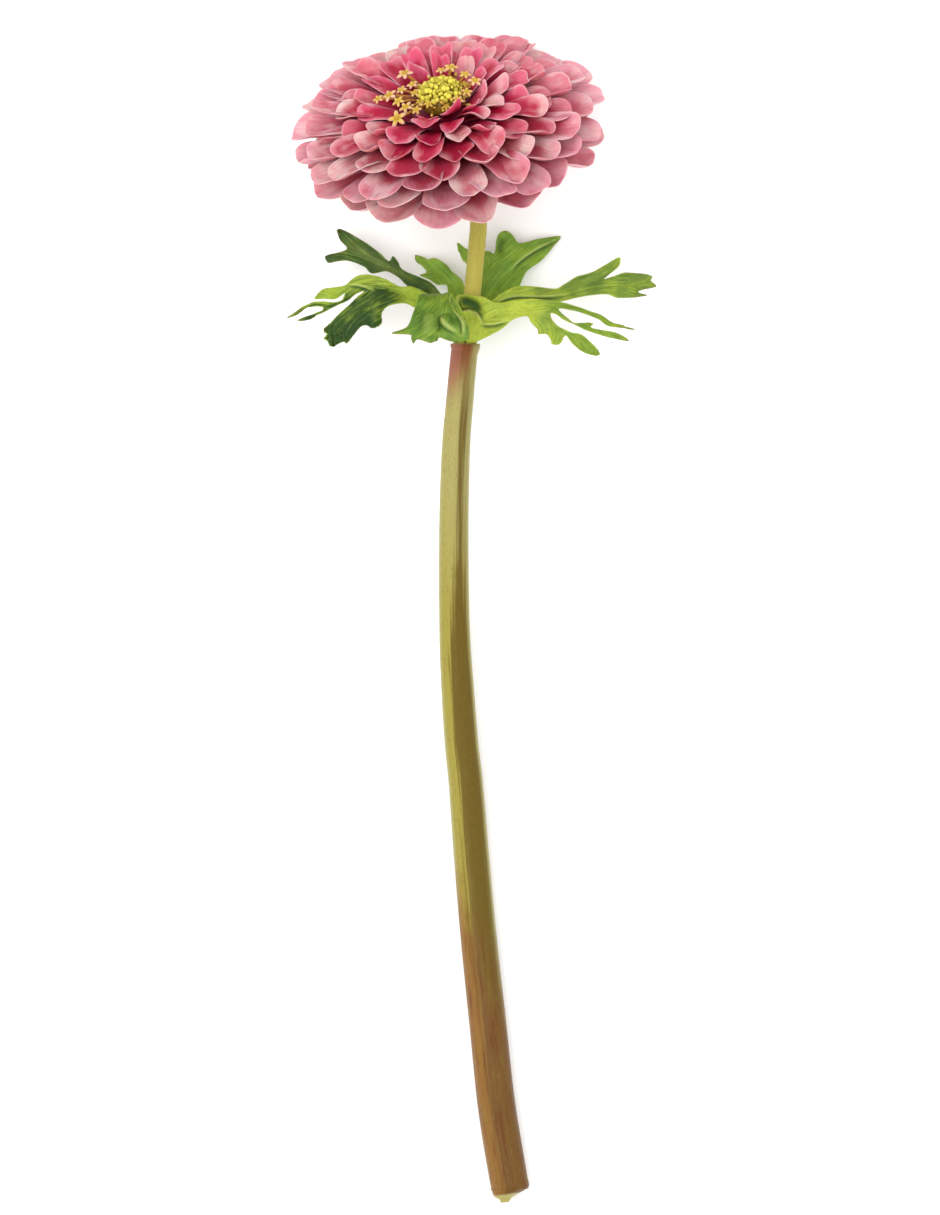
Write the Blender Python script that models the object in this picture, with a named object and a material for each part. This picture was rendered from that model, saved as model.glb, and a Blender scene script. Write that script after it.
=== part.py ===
"""A cut zinnia flower lying on a surface: stem, ruff of cut leaves, green cup,
ray petals in eight layers and the disc of star florets.

Frame: +X to the right and +Y towards the head as seen from above, +Z up.
The flower rests on z = 0 on its lowest petals and on the lower stem.
Lengths below are in millimetres and angles in degrees; they are scaled to
metres where they enter a mesh.
"""
import math
import random

import bmesh
import bpy
import numpy as np
from mathutils import Vector
from mathutils.geometry import delaunay_2d_cdt, intersect_point_line

MM = 0.001
GAP = 0.3
SEED = 7
WELD = 0.003

# Head: centre of the rim of petals, and the way the flower faces; its parts lean
# sideways by HEAD_LEAN_BELOW for each millimetre under the rim
HEAD_CENTRE = Vector((-7.5, 149.5, 32.3))
HEAD_AXIS = Vector((-0.112, 0.84, 0.53)).normalized()
HEAD_RIGHT = Vector((HEAD_AXIS.z, 0.0, -HEAD_AXIS.x)).normalized()
HEAD_FAR = HEAD_AXIS.cross(HEAD_RIGHT)
HEAD_LEAN_BELOW = -0.169
HEAD_LEAN_AT_RIM = -0.4
RIM_RADIUS = 47.0
FAR_SIDE_RISE = 3.3
FAR_CORNERS_REACH = 0.07

# Ray petals
PETAL_THICKNESS = 0.7
CORE_TOP, CORE_BOTTOM = 8.0, -12.0
CORE_PROFILE = ((0.0, CORE_TOP), (6.2, CORE_TOP), (10.5, 6.0), (15.5, 2.5), (17.0, -2.5),
                (15.0, -8.0), (9.0, CORE_BOTTOM), (0.0, CORE_BOTTOM))
CORE_SIDES = 14

# Disc of florets
DISC_BASE = CORE_TOP + GAP
DISC_TOP = 17.0
DOME_PROFILE = ((0.0, DISC_BASE), (4.8, DISC_BASE), (6.1, 9.7), (6.4, 11.5), (5.9, 13.5),
                (4.5, 15.3), (2.6, 16.4), (0.0, 16.8))
DOME_SIDES = 12
BUD_COUNT = 26
RING_STAR_COUNT = 10

# Green cup under the head
CUP_TOP = CORE_BOTTOM - GAP
CUP_BOTTOM = -19.5
CUP_RADIUS, CUP_NECK_RADIUS = 9.2, 3.6
BRACT_THICKNESS = 0.8

# Stem
COLLAR_X, COLLAR_Y = -1.9, 85.4
PEDUNCLE_RADIUS = 2.6
COLLAR_RADIUS = 4.1
COLLAR_RING_RADIUS = 4.5
CUT_END_Y = -172.4
CUT_START_Y = -173.5
LYING_FROM_Y = -86.0
COLLAR_HEIGHT = 18.8
STEM_SIDES = 10

# Leaves
LEAF_THICKNESS = 0.8


def clear_scene():
    for obj in list(bpy.data.objects):
        bpy.data.objects.remove(obj, do_unlink=True)


def new_collection(name):
    collection = bpy.data.collections.new(name)
    bpy.context.scene.collection.children.link(collection)
    return collection


def material(name, colour, roughness):
    made = bpy.data.materials.new(name)
    made.use_nodes = True
    shader = made.node_tree.nodes["Principled BSDF"]
    shader.inputs["Base Color"].default_value = (*colour, 1.0)
    shader.inputs["Roughness"].default_value = roughness
    shader.inputs["Metallic"].default_value = 0.0
    return made


def mesh_object(name, bm, collection):
    bmesh.ops.triangulate(bm, faces=bm.faces[:])
    bmesh.ops.recalc_face_normals(bm, faces=bm.faces[:])
    mesh = bpy.data.meshes.new(name)
    bm.to_mesh(mesh)
    bm.free()
    obj = bpy.data.objects.new(name, mesh)
    collection.objects.link(obj)
    return obj


def thicken(bm, up, thickness):
    """Makes an open sheet a closed blade, keeping its face on the side that looks up."""
    bmesh.ops.triangulate(bm, faces=bm.faces[:])
    bmesh.ops.recalc_face_normals(bm, faces=bm.faces[:])
    bm.normal_update()
    if sum(face.normal.dot(up) * face.calc_area() for face in bm.faces) < 0:
        bmesh.ops.reverse_faces(bm, faces=bm.faces[:])
    bmesh.ops.solidify(bm, geom=bm.faces[:], thickness=thickness * MM)


def keep_outer_shell(mesh):
    """Fills the hollows that a union sealed, by dropping every shell but the largest."""
    bm = bmesh.new()
    bm.from_mesh(mesh)
    left, shells = set(bm.verts), []
    while left:
        start = left.pop()
        shell, edge = {start}, [start]
        while edge:
            vert = edge.pop()
            for link in vert.link_edges:
                other = link.other_vert(vert)
                if other in left:
                    left.remove(other)
                    shell.add(other)
                    edge.append(other)
        shells.append(shell)
    shells.sort(key=len)
    for shell in shells[:-1]:
        bmesh.ops.delete(bm, geom=list(shell), context="VERTS")
    bmesh.ops.remove_doubles(bm, verts=bm.verts[:], dist=WELD * MM)
    bmesh.ops.dissolve_degenerate(bm, dist=WELD * MM, edges=bm.edges[:])
    bmesh.ops.triangulate(bm, faces=bm.faces[:])
    bm.to_mesh(mesh)
    bm.free()


def union_of(name, body, repeats, collection, finish):
    """Joins the repeats in a collection to the body they grow from."""
    modifier = body.modifiers.new("join", "BOOLEAN")
    modifier.operation = "UNION"
    modifier.operand_type = "COLLECTION"
    modifier.collection = repeats
    modifier.solver = "MANIFOLD"
    bpy.context.view_layer.update()
    evaluated = body.evaluated_get(bpy.context.evaluated_depsgraph_get())
    mesh = bpy.data.meshes.new_from_object(evaluated)
    keep_outer_shell(mesh)
    joined = bpy.data.objects.new(name, mesh)
    mesh.materials.clear()
    mesh.materials.append(finish)
    collection.objects.link(joined)
    for obj in [body, *repeats.objects]:
        bpy.data.objects.remove(obj, do_unlink=True)
    bpy.data.collections.remove(repeats)
    return joined


def head_point(right, far, height):
    """A point of the head, from its place across the rim and its height above it."""
    lean = HEAD_LEAN_AT_RIM + HEAD_LEAN_BELOW * min(height, 0.0)
    return (HEAD_CENTRE + HEAD_RIGHT * (right + lean) + HEAD_FAR * far
            + HEAD_AXIS * height)


def polar_point(radius, angle, height, sideways=0.0):
    turn = math.radians(angle)
    return head_point(radius * math.cos(turn) - sideways * math.sin(turn),
                      radius * math.sin(turn) + sideways * math.cos(turn), height)


def turned(name, profile, sides, collection):
    """A solid turned about the head's axis from a profile of radius and height."""
    bm = bmesh.new()
    ring = [bm.verts.new((radius, 0.0, height)) for radius, height in profile]
    edges = [bm.edges.new(pair) for pair in zip(ring, ring[1:])]
    bmesh.ops.spin(bm, geom=ring + edges, axis=(0, 0, 1), cent=(0, 0, 0),
                   angle=math.tau, steps=sides)
    bmesh.ops.remove_doubles(bm, verts=bm.verts[:], dist=0.01)
    for vert in bm.verts:
        vert.co = head_point(*vert.co) * MM
    return mesh_object(name, bm, collection)


def smooth_path(knots, per_span):
    """Points of a smooth curve through the knots, each knot a tuple of numbers."""
    knots = [np.array(k, float) for k in knots]
    ends = [2 * knots[0] - knots[1], *knots, 2 * knots[-1] - knots[-2]]
    path = []
    for before, start, end, after in zip(ends, ends[1:], ends[2:], ends[3:]):
        for step in range(per_span):
            t = step / per_span
            path.append(0.5 * (2 * start + (end - before) * t
                               + (2 * before - 5 * start + 4 * end - after) * t ** 2
                               + (3 * start - before - 3 * end + after) * t ** 3))
    path.append(knots[-1])
    return path


# Ray petals


class Layer:
    """One ring of petals: its tips, roots, count and petal shape."""

    def __init__(self, tip, root, lift, count, width, cup, floor, alternate=1.4,
                 start=0.0, missing=None):
        self.tip, self.root, self.lift = tip, root, lift
        self.count, self.width, self.cup = count, width, cup
        self.floor, self.alternate = floor, alternate
        self.start, self.missing = start, missing


# tip and root are (radius, height); lift bows the blade up between them;
# floor is the height at which a blade pressed on the table lies
LAYERS = [
    Layer((15.0, 13.6), (4.5, 5.4), 0.8, 11, 6.6, 0.6, 6.0, missing=(132, 246)),
    Layer((21.5, 12.2), (5.0, 4.2), 2.4, 13, 7.8, 0.7, 6.0, start=14, missing=(130, 244)),
    Layer((27.0, 9.5), (5.5, 2.2), 2.4, 16, 8.8, 0.8, 6.0),
    Layer((33.5, 7.5), (6.0, 0.2), 3.5, 18, 10.2, 0.9, 5.5, start=10),
    Layer((39.5, 5.0), (6.0, -2.0), 3.5, 18, 11.8, 1.0, 4.4),
    Layer((44.5, 2.0), (6.5, -4.2), 3.5, 18, 13.2, 1.0, 3.3, start=10),
    Layer((47.0, -1.5), (7.0, -6.6), 3.0, 18, 14.2, 0.9, 2.2),
    Layer((45.0, -6.0), (7.0, -9.2), 1.5, 19, 14.0, 0.8, 0.0, alternate=0.8, start=8.3),
]
PETAL_ROWS = (0.0, 0.45, 0.82, 1.0)
PETAL_WIDTHS = (0.26, 0.74, 1.0, 0.56)
TIP_CORNER_PULL = 0.05
FLOOR_STEP = 0.9
SHINGLE_SLOPE = 0.04
ANGLE_SPREAD, LENGTH_SPREAD, HEIGHT_SPREAD, WIDTH_SPREAD = 2.0, 0.05, 0.5, 0.14


def petal_point(layer, width, angle, length, raised, across, row):
    """The point of a petal at a row along it and at -1, 0 or 1 across it."""
    along = PETAL_ROWS[row] - (TIP_CORNER_PULL if across and row == 3 else 0.0)
    along *= length
    (root_r, root_h), (tip_r, tip_h) = layer.root, layer.tip
    half = width / 2 * PETAL_WIDTHS[row]
    far = max(math.sin(math.radians(angle)), 0.0)
    fuller = FAR_CORNERS_REACH * abs(math.sin(math.radians(2 * angle))) if far else 0.0
    radius = root_r + (tip_r - root_r) * along * (1 + fuller)
    height = root_h + (tip_h - root_h) * along + layer.lift * 4 * along * (1 - along)
    height += FAR_SIDE_RISE * far * along
    height += raised
    height += layer.cup * across ** 2 * PETAL_WIDTHS[row]
    height += SHINGLE_SLOPE * across * half
    return polar_point(radius, angle, height, across * half)


def petal(layer, width, angle, length, raised, floor, collection):
    """A closed blade with two columns and three rows of facets a side."""
    bm = bmesh.new()
    bmesh.ops.create_grid(bm, x_segments=2, y_segments=3, size=1.0)
    for vert in bm.verts:
        across = round(vert.co.x)
        row = round((vert.co.y + 1.0) * 1.5)
        point = petal_point(layer, width, angle, length, raised, across, row)
        point.z = max(point.z, floor + PETAL_THICKNESS)
        vert.co = point * MM
    thicken(bm, HEAD_AXIS, PETAL_THICKNESS)
    for vert in bm.verts:
        if vert.co.z < (floor + PETAL_THICKNESS / 2) * MM:
            vert.co.z = floor * MM
    return mesh_object("petal", bm, collection)


def ray_petals(collection, finish):
    rng = random.Random(SEED)
    widths = random.Random(SEED + 8)
    blades = new_collection("petal blades")
    for layer in LAYERS:
        step = 360.0 / layer.count
        for place in range(layer.count):
            angle = layer.start + step * place + rng.uniform(-1, 1) * ANGLE_SPREAD
            length = 1.0 + rng.uniform(-1, 0.6) * LENGTH_SPREAD
            raised = rng.uniform(-1, 1) * HEIGHT_SPREAD
            width = layer.width * (1.0 + widths.uniform(-1, 1) * WIDTH_SPREAD)
            odd = place % 2
            if layer.missing and layer.missing[0] < angle % 360 < layer.missing[1]:
                continue
            floor = layer.floor + FLOOR_STEP * odd if layer.floor else 0.0
            raised += layer.alternate * odd
            petal(layer, width, angle, length, raised, floor, blades)
    core = turned("core", CORE_PROFILE, CORE_SIDES, collection)
    return union_of("ray_petals", core, blades, collection, finish)


# Disc of florets


def rod(start, end, start_radius, end_radius, sides, collection):
    """A closed tapered rod between two points in millimetres."""
    bm = bmesh.new()
    bmesh.ops.create_cone(bm, cap_ends=True, segments=sides, radius1=start_radius,
                          radius2=end_radius, depth=(end - start).length)
    turn = (end - start).to_track_quat("Z", "Y")
    for vert in bm.verts:
        vert.co = (turn @ vert.co + (start + end) / 2) * MM
    return mesh_object("rod", bm, collection)


STAR_LOBES = 5
STAR_DEPTH = 0.8
STAR_BACK, STAR_NOTCH = 0.75, 0.36


def star(centre, facing, radius, turn, collection):
    """A five-lobed floret: a flat star with a little depth, smaller at its back."""
    bm = bmesh.new()
    bmesh.ops.create_cone(bm, cap_ends=True, segments=2 * STAR_LOBES,
                          radius1=radius * STAR_BACK, radius2=radius, depth=STAR_DEPTH)
    aim = facing.to_track_quat("Z", "Y")
    for number, vert in enumerate(sorted(
            bm.verts, key=lambda v: (v.co.z, math.atan2(v.co.y, v.co.x)))):
        if number % 2:
            vert.co.x *= STAR_NOTCH
            vert.co.y *= STAR_NOTCH
        spin = Vector((vert.co.x * math.cos(turn) - vert.co.y * math.sin(turn),
                       vert.co.x * math.sin(turn) + vert.co.y * math.cos(turn),
                       vert.co.z))
        vert.co = (aim @ spin + centre) * MM
    return mesh_object("star", bm, collection)


# stars that stand out of the ring on stalks: angle, radius, height and size
OUTLYING_STARS = [
    (147, 14.6, 15.8, 2.9), (160, 9.8, 14.6, 2.0), (171, 12.6, 13.6, 2.0),
    (182, 15.8, 13.2, 2.6), (185, 19.2, 12.6, 1.9), (197, 13.0, 13.0, 2.2),
    (213, 11.6, 12.4, 2.4), (228, 16.9, 12.2, 3.2), (235, 10.4, 12.8, 1.8),
    (96, 8.0, 16.8, 1.8), (75, 8.6, 17.6, 2.4), (36, 8.8, 17.0, 2.0),
    (12, 10.8, 16.4, 2.3), (348, 8.8, 15.0, 2.0), (322, 8.2, 14.0, 2.0),
]
STAR_RADIUS = 1.7
STALK_RADIUS, STALK_ROOT_RADIUS = 0.5, 0.7
STALKS_FROM_RADIUS = 3.6
RING_RADIUS, RING_HEIGHT, RING_STEP = 6.9, 12.6, (0.8, 1.6)
FLORET_ROOT_HEIGHT = DISC_BASE + 3.0
GOLDEN_TURN = 137.508
BUDS_FROM_RADIUS, BUDS_TO_RADIUS = 3.2, 6.3
BUD_ROOT_RADIUS, BUD_TIP_RADIUS = 0.9, 0.6
BUD_TOP, BUD_DROP_AT_RIM = DISC_TOP + 0.6, 4.6


def star_on_stalk(angle, radius, height, size, turn, collection):
    root = polar_point(STALKS_FROM_RADIUS, angle, FLORET_ROOT_HEIGHT)
    centre = polar_point(radius, angle, height)
    rod(root, centre, STALK_ROOT_RADIUS, STALK_RADIUS, 3, collection)
    facing = HEAD_AXIS * 1.3 + Vector((0, 0, 0.5)) + (centre - root).normalized() * 0.6
    star(centre, facing.normalized(), size, turn, collection)


def disc_florets(collection, finish):
    rng = random.Random(SEED + 1)
    florets = new_collection("florets")
    for index in range(BUD_COUNT):
        spread = math.sqrt((index + 0.5) / BUD_COUNT)
        angle = index * GOLDEN_TURN
        tip_height = BUD_TOP - BUD_DROP_AT_RIM * spread ** 3 + rng.uniform(-0.25, 0.25)
        root = polar_point(BUDS_FROM_RADIUS * spread, angle, FLORET_ROOT_HEIGHT)
        tip = polar_point(BUDS_TO_RADIUS * spread, angle, tip_height)
        rod(root, tip, BUD_ROOT_RADIUS, BUD_TIP_RADIUS, 4, florets)
    for index in range(RING_STAR_COUNT):
        angle = 360.0 * (index + rng.uniform(-0.2, 0.2)) / RING_STAR_COUNT
        radius = RING_RADIUS + RING_STEP[0] * (index % 2)
        height = RING_HEIGHT + RING_STEP[1] * (index % 2)
        star_on_stalk(angle, radius, height, STAR_RADIUS, rng.uniform(0, 1.2), florets)
    for angle, radius, height, size in OUTLYING_STARS:
        star_on_stalk(angle, radius, height, size, rng.uniform(0, 1.2), florets)
    dome = turned("dome", DOME_PROFILE, DOME_SIDES, collection)
    return union_of("disc_florets", dome, florets, collection, finish)


# Green cup with its bracts


def bract(angle, outline, width, collection):
    """A pointed scale whose middle line is given as radius and height."""
    bm = bmesh.new()
    rows = len(outline) - 1
    bmesh.ops.create_grid(bm, x_segments=2, y_segments=rows, size=1.0)
    for vert in bm.verts:
        across = round(vert.co.x)
        row = round((vert.co.y + 1.0) * rows / 2)
        radius, height = outline[row]
        half = width / 2 * (0.12 if row == rows else 1.0 - 0.25 * row / rows)
        point = polar_point(radius - 0.08 * half * across ** 2, angle, height, across * half)
        vert.co = point * MM
    thicken(bm, HEAD_AXIS, BRACT_THICKNESS)
    return mesh_object("bract", bm, collection)


LONG_BRACT = ((7.0, -14.4), (16.0, -12.6), (28.0, -10.4), (37.0, -9.2))
LONG_BRACT_WIDTH = 3.2
LONG_BRACT_ANGLES = (8, 165, 205, 256, 295, 335)
SHORT_BRACTS = (
    (((5.0, -16.6), (9.6, -15.2), (11.2, -13.0)), 9, 6.0, 0),
    (((4.2, -17.6), (7.8, -17.8), (10.4, -15.9)), 8, 4.8, 20),
)


def involucre(collection, finish):
    rng = random.Random(SEED + 2)
    bracts = new_collection("bracts")
    for outline, count, width, start in SHORT_BRACTS:
        for place in range(count):
            angle = start + 360.0 * (place + rng.uniform(-0.08, 0.08)) / count
            bract(angle, outline, width * rng.uniform(0.93, 1.05), bracts)
    for angle in LONG_BRACT_ANGLES:
        bract(angle, LONG_BRACT, LONG_BRACT_WIDTH, bracts)
    profile = ((0.0, CUP_TOP), (CUP_RADIUS, CUP_TOP), (CUP_RADIUS * 0.96, -14.6),
               (CUP_RADIUS * 0.78, -17.0), (CUP_RADIUS * 0.5, -18.7),
               (CUP_NECK_RADIUS, CUP_BOTTOM), (0.0, CUP_BOTTOM))
    cup = turned("cup", profile, CORE_SIDES, collection)
    return union_of("involucre", cup, bracts, collection, finish)


# Stem

# middle of the stem as seen from above, from the neck down to the cut end
STEM_ROUTE = [
    (2.1, 122.3), (1.7, 116.2), (1.0, 108.0), (0.0, 98.5), (COLLAR_X, COLLAR_Y),
    (-3.7, 66.5), (-4.7, 54.3), (-5.3, 36.0), (-5.4, 15.0), (-5.1, -4.0), (-4.3, -19.0),
    (-3.0, -37.2), (-1.7, -49.4), (0.2, -73.8), (2.4, -98.2), (5.0, -122.6), (7.6, -147.0),
    (11.0, -168.0), (11.9, CUT_END_Y),
]
NECK_BEND = (0.9, 127.6, 19.4)
# stem radius at places along Y; the step at the collar is the ledge of the leaf ring
RADIUS_AT = [
    (-177.6, 1.0), (-176.9, 1.4), (-176.0, 1.9), (-175.2, 3.4), (-173.9, 5.1),
    (CUT_END_Y, 5.8), (-160.0, 5.85),
    (-120.0, 5.65), (-60.0, 5.35), (-20.0, 5.0), (0.0, 4.65), (40.0, 4.45),
    (80.0, COLLAR_RADIUS),
    (COLLAR_Y - 2.0, COLLAR_RADIUS), (COLLAR_Y - 1.5, COLLAR_RING_RADIUS),
    (COLLAR_Y - 0.2, COLLAR_RING_RADIUS), (COLLAR_Y, PEDUNCLE_RADIUS),
    (122.0, PEDUNCLE_RADIUS), (140.0, 3.2),
]
STEM_PRESS = 0.03
# how far the rings of the cut end stand to the side, and their slant
CUT_SHIFT = ((-177.6, -1.7), (-175.2, -1.5), (-173.9, -0.4), (CUT_END_Y, 0.0))
CUT_SLANT = 0.13


def stem_radius(y):
    places, radii = zip(*RADIUS_AT)
    return float(np.interp(y, places, radii))


def stem_height(y):
    """Height of the stem's middle: it lies flat at the cut end and rises to the collar."""
    radius = stem_radius(LYING_FROM_Y if y > LYING_FROM_Y else max(y, CUT_END_Y))
    lying = radius * math.cos(math.pi / STEM_SIDES) - STEM_PRESS
    if y <= LYING_FROM_Y:
        return lying
    if y >= COLLAR_Y:
        return COLLAR_HEIGHT
    t = (y - LYING_FROM_Y) / (COLLAR_Y - LYING_FROM_Y)
    return lying + (COLLAR_HEIGHT - lying) * (0.35 * t + 0.65 * t * t * (3 - 2 * t))


def slanted(place):
    """A point of the cut end, from its place on a straight, square end."""
    heights, shifts = zip(*CUT_SHIFT)
    aside = place.x / MM - STEM_ROUTE[-1][0]
    place.x += float(np.interp(place.y / MM, heights, shifts)) * MM
    place.y += CUT_SLANT * aside * MM


def stem(collection, finish):
    neck = head_point(0.0, 0.0, CUP_BOTTOM - GAP)
    knots = [tuple(neck - HEAD_AXIS * down) for down in (0.0, 1.0, 2.5)]
    knots += [NECK_BEND] + [(x, y, stem_height(y)) for x, y in STEM_ROUTE]
    route = smooth_path(knots, 3)
    ends = [y for y, _ in RADIUS_AT if y < CUT_END_Y]
    route += [np.array((STEM_ROUTE[-1][0], y, stem_height(CUT_END_Y))) for y in ends[::-1]]
    curve = bpy.data.curves.new("stem", "CURVE")
    curve.dimensions = "3D"
    curve.twist_mode = "Z_UP"
    curve.bevel_depth = MM
    curve.bevel_resolution = STEM_SIDES // 2 - 2
    curve.use_fill_caps = True
    ledge = [np.array((COLLAR_X, COLLAR_Y - down, COLLAR_HEIGHT)) for down in (0.2, 1.5, 2.0)]
    below = next(i for i, place in enumerate(route) if place[1] < COLLAR_Y - 2.0)
    points = route[:below] + ledge + route[below:]
    spline = curve.splines.new("POLY")
    spline.points.add(len(points) - 1)
    for target, place in zip(spline.points, points):
        target.co = (*(float(v) * MM for v in place), 1.0)
        target.radius = stem_radius(float(place[1]))
    guide = bpy.data.objects.new("stem curve", curve)
    collection.objects.link(guide)
    bpy.context.view_layer.update()
    evaluated = guide.evaluated_get(bpy.context.evaluated_depsgraph_get())
    mesh = bpy.data.meshes.new_from_object(evaluated)
    bpy.data.objects.remove(guide, do_unlink=True)
    bm = bmesh.new()
    bm.from_mesh(mesh)
    bmesh.ops.remove_doubles(bm, verts=bm.verts[:], dist=0.01 * MM)
    for vert in bm.verts:
        vert.co.z = max(vert.co.z, 0.0)
        if vert.co.y < CUT_START_Y * MM:
            slanted(vert.co)
    obj = mesh_object("stem", bm, collection)
    obj.data.materials.append(finish)
    return obj


# Leaves: the middle rib runs from its foot on the collar's ledge to the tip, as
# (x, y, height over the collar's middle, roll), where roll turns the blade about the
# rib. The outline is the blade's edge as seen from above, from the foot round the tips
# and back.


class Leaf:
    """A leaf's rib and outline; when unrolled, the outline is flat: across and along it."""

    def __init__(self, rib, outline, fold=0.14, droop=0.0, unrolled=False):
        self.rib, self.outline = rib, outline
        self.fold, self.droop, self.unrolled = fold, droop, unrolled


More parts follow.
